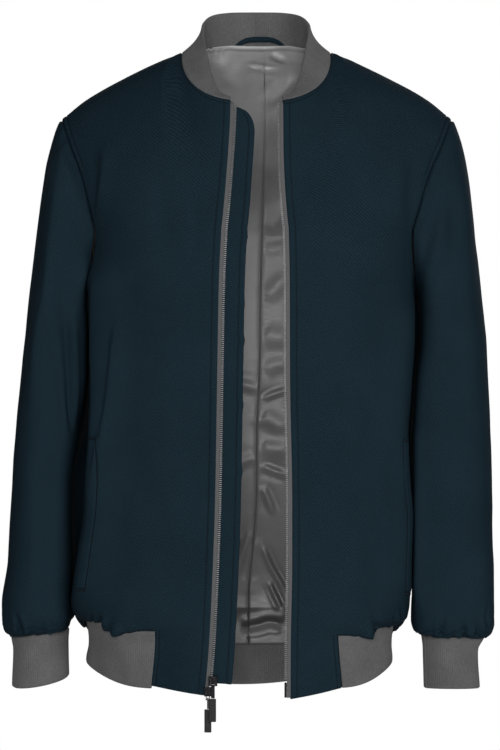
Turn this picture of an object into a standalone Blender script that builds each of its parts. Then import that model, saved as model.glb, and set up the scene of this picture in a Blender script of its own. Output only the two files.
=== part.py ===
"""Bomber jacket with its zip open, filled out as if worn by nobody.

Metres, +Z up, the front faces -Y and the wearer's left is +X. The origin is the middle of
the neck at the height where the collar meets the shoulders, where the wearer holds it up.
Every cloth piece is a thin closed wall cut from the same few form functions: the torso, the
sleeves, the collar, the hem band and the cuffs. Tables are in millimetres.
"""
import math

import bmesh
import bpy
import numpy as np

for ob in list(bpy.data.objects):
    bpy.data.objects.remove(ob, do_unlink=True)

MM = 0.001

# ---------------------------------------------------------------- sizes, in metres
SHELL_WALL = 0.0020  # twill shell
RIB_WALL = 0.0030  # doubled rib knit
LINING_WALL = 0.0010
SEAM_GAP = 0.0004  # half of it on each side of a seam
UNDERARM_Z = -0.250
CHEST_Z = -0.190  # where the front stops being a tube and arches to the shoulder
SHOULDER_R = 0.2065  # shoulder point, from the centre line
NECK_R = 0.0785  # side neck point, from the centre line
NECK_DROP = 0.0584  # front neck below the origin
NECK_RISE = 0.0115  # back neck above the origin
CORNER_R = 0.0275  # where the neckline meets the zip edge
NECK_SQUARE = 2.5
BODY_SQUARE = 2.6
ARCH_M, ARCH_K = 1.6, 0.6
REST_GAP = 0.0040  # how close a sleeve comes to the body behind the side seam
TAPE_WIDTH = 0.0038
CHAIN_WIDTH = 0.0026
UNDERLAP_WIDTH = 0.0260
POCKET_TOP, POCKET_FOOT = -0.404, -0.564
WELT_WIDTH = 0.015


def table(names, *rows):
    """A short table with named columns, in millimetres, given back in metres."""
    return {n: np.array([r[i] for r in rows], float) * MM for i, n in enumerate(names.split())}


# Level sections of the body, foot to chest: its middle, half width on the wearer's right and
# left, and how far the front and the back stand from the middle.
TORSO = table(
    "z     mid   right left  front back  tab",
    (-690, -10.5, 155, 155, 113, 118, 124),
    (-660, -10.5, 157, 157, 115, 119, 125),
    (-640, -10.5, 158, 158, 116, 120, 126),
    (-622, -10.5, 159.5, 160, 117, 121, 127),
    (-613, -10.5, 162, 164, 118.5, 122.5, 127.5),
    (-606, -10.5, 168, 171, 121.5, 125, 128),
    (-597, -10.5, 174.5, 176.5, 126, 128.5, 129),
    (-580, -10.5, 178, 178.5, 129, 130, 130),
    (-560, -9.2, 176.5, 177, 130, 129, 130),
    (-527, -5.8, 175, 174, 129, 125, 129),
    (-470, -1.9, 171, 170.5, 127, 119, 127),
    (-410, -1.6, 168, 167, 126, 116, 126),
    (-350, 1.0, 169, 168.5, 128, 117, 128),
    (-304, 2.1, 170, 170, 130, 118, 130),
    (-262, 2.3, 171.5, 171.5, 131, 120.5, 131),
    (-250, 2.5, 173, 173, 131, 121, 131),
    (-190, 4.0, 180, 180, 130, 124, 130),
)
MIDDLE = table("z mid", (-190, 4.0), (-130, 5.5), (-70, 7.0), (0, 6.5), (60, 6.0))
# Height of the shoulder ridge along its length, and of its run on into the neck.
RIDGE = table(
    "r z", (0, 55), (40, 40), (62, 20), (78.5, 0), (96.5, -7.4), (141.5, -28.6), (180, -50), (206.5, -71)
)
ARMHOLE = table("z r", (-190, 165.5), (-165, 172.5), (-130, 183), (-99, 196), (-71, 206.5))
# Zip edges of the two fronts, and the lines that run from the tab seams up to the side neck.
EDGE = table(
    "z     right left",
    (-672, -47.5, 41.9),
    (-652, -45.2, 41.9),
    (-612, -41.9, 42.1),
    (-530, -38.0, 43.4),
    (-469, -36.0, 43.4),
    (-341, -33.8, 41.2),
    (-250, -32.2, 40.9),
    (-193, -29.6, 39.8),
    (-120, -25.5, 37.0),
    (-58, -21.0, 34.0),
)
TAB = table("z right left", (-668, 92, 106), (-606, 87.4, 100.6), (-400, 87, 95), (-190, 88, 88), (0, 78.5, 78.5))
TAB_FOOT = table("u right left", (0, -668, -672), (1000, -660, -663))  # u in thousandths from zip to seam
# Height of the hem seam at the centre and at the side.
HEM_FRONT = {-1: (-0.604, -0.609), 1: (-0.609, -0.613)}
HEM_BACK = -0.622
# Upright arms: outer and inner side, half depth, middle of the depth, and how far the inner side
# reaches in behind the side seam (thousandths of the way to the body).
ARM_RIGHT = table(
    "z     outer inner deep mid reach",
    (-612, 252, 192, 33, -12, 0),
    (-607, 258, 191, 42, -12, 300),
    (-598, 261, 189.5, 50, -12, 1000),
    (-580, 261.8, 189.8, 57, -9, 1000),
    (-537, 255.5, 188, 61, -7, 1000),
    (-500, 253.5, 188.2, 62, -5, 1000),
    (-453, 251.2, 187, 65, -2, 1000),
    (-431, 250.2, 184, 66, -1, 1000),
    (-415, 249.0, 180, 67, 0, 1000),
    (-389, 247.0, 175, 68, 1, 1000),
    (-347, 242.7, 172.6, 70, 2, 1000),
    (-325, 240.6, 172.2, 71, 2, 1000),
    (-304, 238.5, 172.0, 72, 1, 1000),
    (-285, 236.2, 172.5, 74, 0, 1000),
)
ARM_LEFT = table(
    "z     outer inner deep mid reach",
    (-612, 248, 177.5, 34, -14, 0),
    (-607, 254, 172, 42, -14, 0),
    (-598, 257.5, 170.0, 47, -14, 0),
    (-580, 257.5, 169.9, 51, -13, 100),
    (-560, 257.5, 170.2, 52, -12, 700),
    (-537, 257, 171.0, 53, -11, 1000),
    (-500, 256.3, 171.3, 55, -9, 1000),
    (-453, 255.8, 171.3, 58, -7, 1000),
    (-410, 254.6, 171.0, 61, -5, 1000),
    (-389, 253.8, 172.4, 63, -4, 1000),
    (-347, 251.9, 175.5, 66, -2, 1000),
    (-325, 250.8, 178.5, 68, -1, 1000),
    (-304, 249.6, 181.0, 70, 0, 1000),
    (-285, 247.6, 181.5, 72, 0, 1000),
)
# Cuffs: width of the tube's middle line from the centre, half widths; t in thousandths of its height.
CUFF_RIGHT = table("t mid wide deep", (0, 221.6, 30.4, 31.5), (250, 221.0, 28.8, 30), (1000, 221.3, 30, 31))
CUFF_LEFT = table("t mid wide deep", (0, 213.8, 33.0, 33), (250, 211.5, 28.9, 30), (1000, 213.0, 29.6, 31))
ARM_FOOT = {-1: (-0.6135, 0.0045), 1: (-0.6165, 0.0020)}  # cuff seam: height, and how much lower it is outside
CUFF_FOOT = {-1: (-0.6628, 0.0052, 0.0035), 1: (-0.6700, 0.0, -0.0015)}  # and how much lower in front
# How the sleeve leaves the armhole. t in thousandths of the way from shoulder to underarm; out,
# forward and down are a direction in thousandths; start and end are handle lengths.
SLEEVE_HEAD = table(
    "t   out fwd down start end",
    (0, 620, 0, 780, 30, 120),
    (120, 600, 280, 750, 28, 95),
    (250, 520, 400, 760, 28, 55),
    (350, 560, 320, 770, 16, 28),
    (420, 620, 160, 770, 11, 16),
    (500, 600, 0, 800, 9, 12),
)
# Upper edge of the collar: t in thousandths from the back to the zip top.
COLLAR_TOP = table(
    "t     r     y     z",
    (0, 0, 52.5, 48.0),
    (92, 21, 49.8, 47.5),
    (184, 38, 42, 45.4),
    (276, 48.6, 30, 41.6),
    (368, 55, 15.5, 35.6),
    (460, 57.5, 1, 28.6),
    (550, 57.3, -11.5, 20.5),
    (640, 56, -24, 11.5),
    (730, 53.5, -37.5, 0.5),
    (820, 49.5, -51.5, -15.0),
    (910, 43, -66.5, -35.0),
    (955, 37, -78, -47.5),
    (1000, 27.2, -91, -53.3),
)


def along(tab, key, name, x):
    """Reads a table's column at x, smoothly and without overshoot."""
    xs, ys = tab[key], tab[name]
    x = np.clip(np.asarray(x, float), xs[0], xs[-1])
    h = np.diff(xs)
    d = np.diff(ys) / h
    m = np.zeros_like(ys)
    same = d[:-1] * d[1:] > 0
    m[1:-1][same] = 2 * d[:-1][same] * d[1:][same] / (d[:-1][same] + d[1:][same])
    m[0], m[-1] = d[0], d[-1]
    i = np.clip(np.searchsorted(xs, x, side="right") - 1, 0, len(xs) - 2)
    t = (x - xs[i]) / h[i]
    return (
        (1 + 2 * t) * (1 - t) ** 2 * ys[i]
        + t * (1 - t) ** 2 * h[i] * m[i]
        + t * t * (3 - 2 * t) * ys[i + 1]
        + t * t * (t - 1) * h[i] * m[i + 1]
    )


def mix(a, b, t):
    return a + (b - a) * t


def ease(t):
    t = np.clip(t, 0, 1)
    return t * t * (3 - 2 * t)


def middle(z):
    return np.where(z < CHEST_Z, along(TORSO, "z", "mid", z), along(MIDDLE, "z", "mid", z))


# ---------------------------------------------------------------- the torso
def hem_seam(side, face, p):
    """Height of the hem seam, p 0 at the centre and 1 at the side."""
    front, at_side = HEM_FRONT[side]
    return mix(front, at_side, p * p) if face < 0 else mix(HEM_BACK, at_side, np.sin(p * math.pi / 2) ** 2)


def torso(side, face, U, W):
    """A point of the shell's outer side. side is -1 on the wearer's right, face is -1 in front.

    U runs 0 to 1 from the zip edge (or the centre back) to the line under the side neck, and on to
    2 at the side seam or armhole. W runs 0 to 1 up the hem tab, 1 to 2 up to the underarm, 2 to 3
    up to the chest line, and 3 to 4 over the chest or shoulder blade to the neckline or the
    shoulder seam.
    """
    U, W = np.broadcast_arrays(np.asarray(U, float), np.asarray(W, float))
    name = "right" if side < 0 else "left"
    n = BODY_SQUARE

    def half(z):
        return along(TORSO, "z", name, z)

    def depth(z):
        d = along(TORSO, "z", "front" if face < 0 else "back", z)
        if face < 0:
            d = mix(d, along(TORSO, "z", "tab", z), 1 - ease(U))
        return d

    def start(z):
        """Distance of the first column from the centre line."""
        if face > 0:
            return np.zeros_like(z)
        return side * (along(EDGE, "z", name, z) - middle(z))

    def line(z):
        return along(TAB, "z", name, z)

    def angle(r, a):
        return np.arcsin(np.clip(r / a, 0, 1) ** (n / 2))

    zh = np.full(U.shape, -0.610)
    p0, p1 = angle(start(zh), half(zh)), angle(line(zh), half(zh))
    p = np.where(U <= 1, mix(p0, p1, U), mix(p1, math.pi / 2, U - 1)) * 2 / math.pi
    seam = hem_seam(side, face, p)
    foot = along(TAB_FOOT, "u", name, np.clip(U, 0, 1))
    under = np.clip(W - 2, 0, 1) * math.pi / 2
    z = np.where(
        W < 1,
        mix(foot, seam, W),
        np.where(W < 2, mix(seam, UNDERARM_Z, W - 1), UNDERARM_Z + (CHEST_Z - UNDERARM_Z) * (1 - np.cos(under))),
    )

    # the tube below the chest line
    arm_r = ARMHOLE["r"][0]
    a, d = half(z), depth(z)
    arm_y = (1 - (arm_r / half(CHEST_Z)) ** n) ** (1 / n) * depth(np.full_like(z, CHEST_Z)) * np.sin(under)
    end = np.where(W <= 2, math.pi / 2, np.arccos(np.clip((arm_y / d) ** (n / 2), 0, 1)))
    end = np.where(W >= 3, angle(arm_r, half(CHEST_Z)), end)
    psi = np.where(
        U <= 1, mix(angle(start(z), a), angle(line(z), a), U), mix(angle(line(z), a), end, U - 1)
    )
    r_low = a * np.sin(psi) ** (2 / n)
    y_low = face * d * np.maximum(np.cos(psi), 0) ** (2 / n)

    # the arches above it
    zc = np.full_like(z, CHEST_Z)
    a0, d0 = half(zc), depth(zc)
    e0 = angle(arm_r, a0)
    psi0 = np.where(
        U <= 1, mix(angle(start(zc), a0), angle(line(zc), a0), U), mix(angle(line(zc), a0), e0, U - 1)
    )
    r0 = a0 * np.sin(psi0) ** (2 / n)
    depth0 = d0 * np.cos(psi0) ** (2 / n)
    w = np.clip(W - 3, 0, 1)
    fa = np.clip(U, 0, 1)
    if face < 0:  # a square-cornered oval, with columns evenly spaced along it
        phi = np.arccos((CORNER_R / NECK_R) ** (NECK_SQUARE / 2)) * (1 - fa) ** 2
        neck_r = NECK_R * np.cos(phi) ** (2 / NECK_SQUARE)
        neck_z = -NECK_DROP * np.sin(phi) ** (2 / NECK_SQUARE)
        fa = (neck_r - CORNER_R) / (NECK_R - CORNER_R)
    else:
        fa = 1 - (1 - fa) ** 1.6
        neck_r = NECK_R * fa
        neck_z = NECK_RISE * (1 - fa * fa)
    top_r = np.where(U <= 1, neck_r, mix(NECK_R, SHOULDER_R, U - 1))
    ridge = along(RIDGE, "r", "z", top_r)
    h_top = np.where(U < 1, np.clip((neck_z - CHEST_Z) / (ridge - CHEST_Z), 0, 1), 1.0)
    tau_top = np.arccos(np.clip(1 - h_top**ARCH_M, 0, 1) ** ARCH_K) * 2 / math.pi
    tau = tau_top * w
    c = np.cos(tau * math.pi / 2)
    h = (1 - np.clip(c, 0, 1) ** (1 / ARCH_K)) ** (1 / ARCH_M)
    z_up = CHEST_Z + (ridge - CHEST_Z) * h
    # distance from the centre line: between the moving inner and outer limits of this height
    r_in = (
        np.zeros_like(z)
        if face > 0
        else mix(side * (along(EDGE, "z", name, z_up) - middle(z_up)), CORNER_R, w)
    )
    # the line under the side neck swings out, to meet the neckline squarely
    r_mid = mix(along(TAB, "z", name, CHEST_Z), NECK_R, ease(w)) + 0.030 * 4 * w * w * (1 - w)
    z_arm = CHEST_Z + (RIDGE["z"][-1] - CHEST_Z) * h
    r_arm = along(ARMHOLE, "z", "r", z_arm)
    s0, k0 = start(zc), line(zc)
    lam_a = mix((r0 - s0) / (k0 - s0), fa, w**4)
    lam_b = mix((r0 - k0) / (arm_r - k0), U - 1, ease(w))
    r_up = np.where(U <= 1, mix(r_in, r_mid, lam_a), mix(r_mid, r_arm, lam_b))
    y_up = face * depth0 * c

    up = W > 3
    zz = np.where(up, z_up, z)
    rr = np.where(up, r_up, r_low)
    yy = np.where(up, y_up, y_low)
    return np.stack([middle(zz) + side * rr, yy, zz], axis=-1)


def unit(v):
    return v / np.maximum(np.linalg.norm(v, axis=-1, keepdims=True), 1e-12)


def normals(form, U, W, box, flip):
    """Outward normals of form(U, W), by small steps kept inside box = (u0, u1, w0, w1)."""
    e = 1e-3
    u0, u1, w0, w1 = box
    # a step never crosses U = 1, where the neckline turns into the shoulder seam
    du = form(np.where(U < 1, np.minimum(U + e, 1), np.minimum(U + e, u1)), W) - form(
        np.where(U < 1, np.maximum(U - e, u0), np.maximum(U - e, 1)), W
    )
    dw = form(U, np.minimum(W + e, w1)) - form(U, np.maximum(W - e, w0))
    return unit(np.cross(du, dw)) * flip


def torso_normals(side, face, U, W):
    U, W = np.broadcast_arrays(np.asarray(U, float), np.asarray(W, float))
    w0 = 0 if face < 0 else 1
    return normals(lambda u, w: torso(side, face, u, w), U, W, (0, 2, w0, 4), -side * face)


# ---------------------------------------------------------------- the sleeves
def armhole(side, T):
    """The armhole seam, T 0 at the shoulder, 0.5 at the underarm, 0.25 in front."""
    T = np.asarray(T, float) % 1.0
    front = T <= 0.5
    t = np.where(front, T, 1 - T)
    W = np.where(t < 0.3, 4 - t / 0.3, 3 - (t - 0.3) / 0.2)
    two = np.full_like(W, 2.0)
    return np.where(front[..., None], torso(side, -1, two, W), torso(side, 1, two, W)), front, W


def arm_ring(side, T, z, tilt=0.0):
    """A level ring of the arm."""
    tab = ARM_RIGHT if side < 0 else ARM_LEFT
    out, inn = along(tab, "z", "outer", z), along(tab, "z", "inner", z)
    deep, mid = along(tab, "z", "deep", z), along(tab, "z", "mid", z)
    a = T * 2 * math.pi
    ca, sa = np.cos(a), np.sin(a)
    # squarer in front on the inner side, where the cloth is pressed against the body
    turn = np.degrees(a) % 360
    ex = 2 / mix(2.35, 3.9, ease((turn - 75) / 30) * ease((192 - turn) / 22))
    cx = np.sign(ca) * np.abs(ca) ** ex
    sy = np.sign(sa) * np.abs(sa) ** ex
    x = (out + inn) / 2 + (out - inn) / 2 * cx
    y = mid - deep * sy
    # the inner side behind reaches in towards the body, to just clear of it
    n = BODY_SQUARE
    depth = np.clip(y / along(TORSO, "z", "back", z), 0, 1)
    body = along(TORSO, "z", "right" if side < 0 else "left", z) * (1 - depth**n) ** (1 / n) + side * middle(z)
    lobe = ease((turn - 180) / 45) * ease((270 - turn) / 45) * along(tab, "z", "reach", z)
    x = side * (x - np.maximum(x - body - REST_GAP, 0) * lobe)
    return np.stack([x, y, z - tilt * cx], axis=-1)


RING_Z = -0.285


def sleeve(side, T, S):
    """The sleeve's outer side: S 0 at the armhole, 1 at the upper arm, 2 at the cuff seam."""
    T, S = np.broadcast_arrays(np.asarray(T, float), np.asarray(S, float))
    t = np.where(T % 1 <= 0.5, T % 1, 1 - T % 1)
    sign = np.where(T % 1 <= 0.5, -1.0, 1.0)
    A = armhole(side, T)[0]
    k = {n: along(SLEEVE_HEAD, "t", n, t) for n in ("out", "fwd", "down", "start", "end")}
    ta = unit(np.stack([side * k["out"], sign * k["fwd"], -k["down"]], axis=-1))
    A = A + ta * 0.0007
    zr = np.full_like(T, RING_Z)
    B = arm_ring(side, T, zr)
    step = 0.004
    tb = unit(arm_ring(side, T, zr - step) - B)
    s = np.clip(S, 0, 1)[..., None]
    C1 = A + ta * k["start"][..., None]
    C2 = B - tb * k["end"][..., None]
    head = (1 - s) ** 3 * A + 3 * (1 - s) ** 2 * s * C1 + 3 * (1 - s) * s * s * C2 + s**3 * B
    foot, tilt = ARM_FOOT[side]
    f = np.clip(S - 1, 0, 1)
    f = mix(f, 1 - (1 - f) ** 1.6, 0.5)  # closer rows towards the gathers
    z = mix(RING_Z, foot + 0.0010, f)
    read = mix(RING_Z, -0.612, f)
    arm = arm_ring(side, T, read, 0.0)
    ca = np.cos(T * 2 * math.pi)
    arm[..., 2] = z - tilt * ca * ease((f - 0.8) / 0.2)
    return np.where((S <= 1)[..., None], head, arm)


def sleeve_normals(side, T, S):
    T, S = np.broadcast_arrays(np.asarray(T, float), np.asarray(S, float))
    e = 2e-3
    dt = sleeve(side, T + e, S) - sleeve(side, T - e, S)
    ds = sleeve(side, T, np.minimum(S + e, 2)) - sleeve(side, T, np.maximum(S - e, 0))
    return unit(np.cross(dt, ds)) * side


def seam_blend(own, other):
    """Own normals leaned halfway to the neighbour's where the seam runs on smoothly."""
    w = np.clip(np.sum(own * other, axis=-1, keepdims=True), 0, 1) ** 0.5
    return unit(own + w * other)


# ---------------------------------------------------------------- collar, hem band, cuffs
def neck_seam(T):
    """The neck seam, T -1 at the right zip top, 0 at the centre back, 1 at the left zip top."""
    T = np.asarray(T, float)
    t = np.abs(T)
    split = 0.46  # the side neck point
    back = torso(-1, 1, np.clip(t / split, 0, 1), np.full_like(t, 4.0))
    front = torso(-1, -1, np.clip(1 - (t - split) / (1 - split), 0, 1), np.full_like(t, 4.0))
    p = np.where((t < split)[..., None], back, front)
    m = middle(p[..., 2])
    p[..., 0] = m + np.sign(T) * np.abs(p[..., 0] - m)
    return p


def collar(T, V):
    """The collar's outer side: V 0 at the neck seam, 1 at its upper edge."""
    T, V = np.broadcast_arrays(np.asarray(T, float), np.asarray(V, float))
    base = neck_seam(T)
    t = np.abs(T)
    r, y, z = (along(COLLAR_TOP, "t", n, t) for n in ("r", "y", "z"))
    m = 0.0062
    top = np.stack([m + np.sign(T) * r, y, z], axis=-1)
    rise = top - base
    # the strip leaves the seam leaning in, then stands up
    v = V[..., None]
    bow = np.stack([-np.sign(T) * np.clip(r / 0.0565, 0, 1), 0 * r, 0 * r], axis=-1) * 0.0045
    size = np.linalg.norm(rise, axis=-1, keepdims=True) / 0.036
    return base + unit(rise) * 0.0006 + rise * v * 0.98 + bow * size * (v * (1 - v) * 4)


def collar_normals(T, V):
    T, V = np.broadcast_arrays(np.asarray(T, float), np.asarray(V, float))
    return normals(collar, T, V, (-1, 1, 0, 1), -1)


def band(T, V, drop=0.0010):
    """The hem band: T 0 at the right tab, 0.25 right side, 0.5 centre back, 1 at the left tab. V 0 at its foot."""
    T, V = np.broadcast_arrays(np.asarray(T, float), np.asarray(V, float))
    side = np.where(T < 0.5, -1, 1)
    face = np.where((T < 0.25) | (T > 0.75), -1, 1)
    t = np.where(T < 0.5, T, 1 - T)
    out = np.zeros(T.shape + (3,))
    n = BODY_SQUARE
    for s, name in ((-1, "right"), (1, "left")):
        for f in (-1, 1):
            here = (side == s) & (face == f)
            if not here.any():
                continue
            tt, v = t[here], V[here]
            if f < 0:
                q = 1 - tt / 0.25  # 1 at the tab, 0 at the side
                near = np.arcsin(((along(TAB, "z", name, -0.610) + SEAM_GAP * 1.5) / along(TORSO, "z", name, -0.610)) ** (n / 2))
                top = hem_seam(s, f, mix(1, near * 2 / math.pi, q))
            else:
                q = (tt - 0.25) / 0.25  # 1 at the centre back
                top = hem_seam(s, f, 1 - q)
            lift = np.cos(q * math.pi / 2) ** (2.2 if f < 0 else 1.6)
            foot = mix(-0.6625 if f < 0 else -0.6785, -0.6430, lift)
            z = mix(foot, top - drop, v)
            a = along(TORSO, "z", name, z)
            d = along(TORSO, "z", "front" if f < 0 else "back", z)
            if f < 0:
                edge = np.arcsin(((along(TAB, "z", name, z) + SEAM_GAP * 1.5) / a) ** (n / 2))
                psi = mix(math.pi / 2, edge, q)
            else:
                psi = mix(math.pi / 2, 0, q)
            x = along(TORSO, "z", "mid", z) + s * a * np.sin(psi) ** (2 / n)
            out[here] = np.stack([x, f * d * np.maximum(np.cos(psi), 0) ** (2 / n), z], axis=-1)
    return out


def band_normals(T, V):
    T, V = np.broadcast_arrays(np.asarray(T, float), np.asarray(V, float))
    return normals(band, T, V, (0, 1, 0, 1), -1)


def cuff(side, T, V):
    """A cuff's outer side: T round it from the outside through the front, V 0 at the sleeve seam."""
    T, V = np.broadcast_arrays(np.asarray(T, float), np.asarray(V, float))
    tab = CUFF_RIGHT if side < 0 else CUFF_LEFT
    mid, wide, deep = (along(tab, "t", n, V) for n in ("mid", "wide", "deep"))
    a = T * 2 * math.pi
    y0 = (ARM_RIGHT if side < 0 else ARM_LEFT)["mid"][0]
    (z0, tilt0), (z1, tilt1, front) = ARM_FOOT[side], CUFF_FOOT[side]
    z = mix(z0 - tilt0 * np.cos(a), z1 - tilt1 * np.cos(a) - front * np.sin(a), V)
    return np.stack([side * (mid + wide * np.cos(a)), y0 - deep * np.sin(a), z], axis=-1)


def cuff_normals(side, T, V):
    T, V = np.broadcast_arrays(np.asarray(T, float), np.asarray(V, float))
    e = 2e-3
    dt = cuff(side, T + e, V) - cuff(side, T - e, V)
    dv = cuff(side, T, np.minimum(V + e, 1)) - cuff(side, T, np.maximum(V - e, 0))
    return unit(np.cross(dt, dv)) * side


# ---------------------------------------------------------------- making solids
def material(name, colour, rough, metal=0.0):
    m = bpy.data.materials.new(name)
    m.use_nodes = True
    b = m.node_tree.nodes["Principled BSDF"]
    b.inputs["Base Color"].default_value = (*colour, 1)
    b.inputs["Roughness"].default_value = rough
    b.inputs["Metallic"].default_value = metal
    return m


TWILL = material("navy_twill", (0.010, 0.021, 0.030), 0.85)
RIB = material("grey_rib", (0.095, 0.095, 0.098), 0.95)
SATIN = material("grey_satin", (0.13, 0.13, 0.13), 0.40)
TAPE = material("grey_tape", (0.16, 0.16, 0.165), 0.85)
TEETH = material("dark_teeth", (0.05, 0.05, 0.055), 0.40, 0.6)
METAL = material("dark_metal", (0.05, 0.05, 0.055), 0.30, 1.0)
RUBBER = material("black_rubber", (0.012, 0.012, 0.012), 0.5)


def mesh_object(name, verts, faces, mat):
    me = bpy.data.meshes.new(name)
    me.from_pydata([tuple(map(float, v)) for v in verts], [], faces)
    me.validate()
    bm = bmesh.new()
    bm.from_mesh(me)
    bmesh.ops.recalc_face_normals(bm, faces=bm.faces)
    if bm.calc_volume(signed=True) < 0:
        bmesh.ops.reverse_faces(bm, faces=bm.faces)
    bmesh.ops.triangulate(bm, faces=bm.faces)
    bm.to_mesh(me)
    bm.free()
    me.materials.append(mat)
    me.shade_smooth()
    me.set_sharp_from_angle(angle=math.radians(40))
    ob = bpy.data.objects.new(name, me)
    bpy.context.scene.collection.objects.link(ob)
    return ob


def wall(name, P, N, thick, mat, skip=None, round_=False):
    """A closed wall: the grid P is its outer side, and the other side lies thick inwards.

    skip marks grid cells that aren't cloth. round_ joins the last column to the first.
    """
    rows, cols = P.shape[:2]
    Q = P - N * (np.asarray(thick)[..., None] if np.ndim(thick) else thick)
    verts = np.concatenate([P.reshape(-1, 3), Q.reshape(-1, 3)])
    base = rows * cols
    cells = np.ones((rows - 1, cols if round_ else cols - 1), bool)
    if skip is not None:
        cells &= ~skip
    faces, used = [], {}

    def at(i, j):
        return i * cols + j % cols

    for i, j in zip(*np.nonzero(cells)):
        a, b, c, d = at(i, j), at(i, j + 1), at(i + 1, j + 1), at(i + 1, j)
        faces.append((a, b, c, d))
        faces.append((base + d, base + c, base + b, base + a))
        for e in ((a, b), (b, c), (c, d), (d, a)):
            used[e] = True
    for a, b in list(used):
        if (b, a) not in used:
            faces.append((b, a, base + a, base + b))
    keep = sorted({v for f in faces for v in f})
    new = {v: k for k, v in enumerate(keep)}
    return mesh_object(name, verts[keep], [tuple(new[v] for v in f) for f in faces], mat)


def pull_in(P, gap, left=True, right=True, foot=True, top=True):
    """Draws a grid's borders back by gap along its own surface."""
    P = P.copy()
    if left:
        P[:, 0] += unit(P[:, 1] - P[:, 0]) * gap
    if right:
        P[:, -1] += unit(P[:, -2] - P[:, -1]) * gap
    if foot:
        P[0] += unit(P[1] - P[0]) * gap
    if top:
        P[-1] += unit(P[-2] - P[-1]) * gap
    return P


def steps(*parts):
    """Joined evenly spaced runs: (from, to, count) each."""
    out = []
    for a, b, n in parts:
        out += [a + (b - a) * i / n for i in range(n)]
    return np.array(out + [parts[-1][1]], float)


def grid(u, w):
    return np.meshgrid(u, w)


HALF_GAP = SEAM_GAP / 2


def arm_hole_normals(side, face, W, own):
    """Torso normals along the armhole, leaned to the sleeve's."""
    t = np.where(W >= 3, (4 - W) * 0.3, 0.3 + (3 - W) * 0.2)
    T = t if face < 0 else 1 - t
    return seam_blend(own, sleeve_normals(side, T, np.zeros_like(T)))


def neck_normals(side, face, U, own):
    """Torso normals along the neckline, leaned to the collar's."""
    T = side * (0.46 * U if face > 0 else 0.46 + 0.54 * (1 - U))
    return seam_blend(own, collar_normals(T, np.zeros_like(T)))


SIDE_NAME = {-1: "right", 1: "left"}

def welt_w(z):
    """W of a height between the hem seam and the underarm, on the fronts."""
    return 1 + (z + 0.6055) / (UNDERARM_Z + 0.6055)


# fronts, each with its hem tab. Their grid has lines where the pocket welts lie.
FRONT_NECK, BACK_NECK = 7, 5  # columns between the centre and the side neck
WELT_U = {-1: (1.57, 1.73), 1: (1.68, 1.84)}
FOOT_W, TOP_W = welt_w(POCKET_FOOT), welt_w(POCKET_TOP)
front_w = steps((0, 1, 1), (1, 1.035, 1), (1.035, FOOT_W, 1), (FOOT_W, TOP_W, 4), (TOP_W, 2, 3), (2, 3, 3), (3, 4, 6))
for side in (-1, 1):
    a, b = WELT_U[side]
    u = steps((0, 1, FRONT_NECK), (1, a, 4), (a, b, 1), (b, 2, 1))
    w = front_w
    U, W = grid(u, w)
    P = torso(side, -1, U, W)
    N = torso_normals(side, -1, U, W)
    hole = w >= 2
    N[hole, -1] = arm_hole_normals(side, -1, w[hole], N[hole, -1])
    neck = u <= 1
    N[-1, neck] = neck_normals(side, -1, u[neck], N[-1, neck])
    P = pull_in(P, HALF_GAP, left=False, foot=False)
    skip = np.zeros((len(w) - 1, len(u) - 1), bool)
    skip[w[:-1] < 1] = u[:-1] >= 1  # only the tab goes below the hem seam
    wall(f"front_{SIDE_NAME[side]}", P, N, SHELL_WALL, TWILL, skip)

# the back, one piece from side to side
u_half = steps((0, 1, BACK_NECK), (1, 2, 6))
back_w = steps((1, 1.035, 1), (1.035, 1.12, 1), (1.12, 2, 5), (2, 3, 3), (3, 4, 6))


def back_points(u_half, w):
    U, W = grid(u_half, w)
    halves = []
    for side in (-1, 1):
        P, N = torso(side, 1, U, W), torso_normals(side, 1, U, W)
        hole = w >= 2
        N[hole, -1] = arm_hole_normals(side, 1, w[hole], N[hole, -1])
        neck = u_half <= 1
        N[-1, neck] = neck_normals(side, 1, u_half[neck], N[-1, neck])
        N[:, 0] = unit(N[:, 0] * (0, 1, 1))
        halves.append((P, N))
    (PR, NR), (PL, NL) = halves
    return np.concatenate([PR[:, ::-1], PL[:, 1:]], axis=1), np.concatenate([NR[:, ::-1], NL[:, 1:]], axis=1)


P, N = back_points(u_half, back_w)
wall("back", pull_in(P, HALF_GAP), N, SHELL_WALL, TWILL)

# sleeves
for side in (-1, 1):
    t = np.arange(20) / 20
    s = steps((0, 1, 6), (1, 1.9, 7), (1.9, 2, 2))
    T, S = grid(t, s)
    P, N = sleeve(side, T, S), sleeve_normals(side, T, S)
    hole, front, Wt = armhole(side, t)
    for j in range(len(t)):
        face = -1 if front[j] else 1
        N[0, j] = seam_blend(N[0, j], torso_normals(side, face, 2.0, Wt[j]))
    wall(f"sleeve_{SIDE_NAME[side]}", P, N, SHELL_WALL, TWILL, round_=True)

# collar
half_t = np.concatenate([0.46 * steps((0, 1, BACK_NECK)), 0.46 + 0.54 * steps((0, 1, FRONT_NECK))[1:]])
t = np.concatenate([-half_t[:0:-1], half_t])
T, V = grid(t, steps((0, 1, 4)))
P, N = collar(T, V), collar_normals(T, V)
face = np.where(np.abs(t) < 0.46, 1, -1)
for j, tj in enumerate(t):
    sj = -1 if tj < 0 else 1
    uj = abs(tj) / 0.46 if face[j] > 0 else 1 - (abs(tj) - 0.46) / 0.54
    N[0, j] = seam_blend(N[0, j], torso_normals(sj, int(face[j]), np.clip(uj, 0, 1), 4.0))
thin = mix(0.0012, RIB_WALL, ease((1 - np.abs(T)) / 0.25))
P = pull_in(P, 0.0006, foot=False, top=False)
wall("collar", P, N, thin, RIB)

# hem band
t = steps((0, 0.25, 6), (0.25, 0.75, 16), (0.75, 1, 6))
T, V = grid(t, steps((0, 1, 2)))
wall("hem_band", band(T, V), band_normals(T, V), RIB_WALL, RIB)

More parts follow.
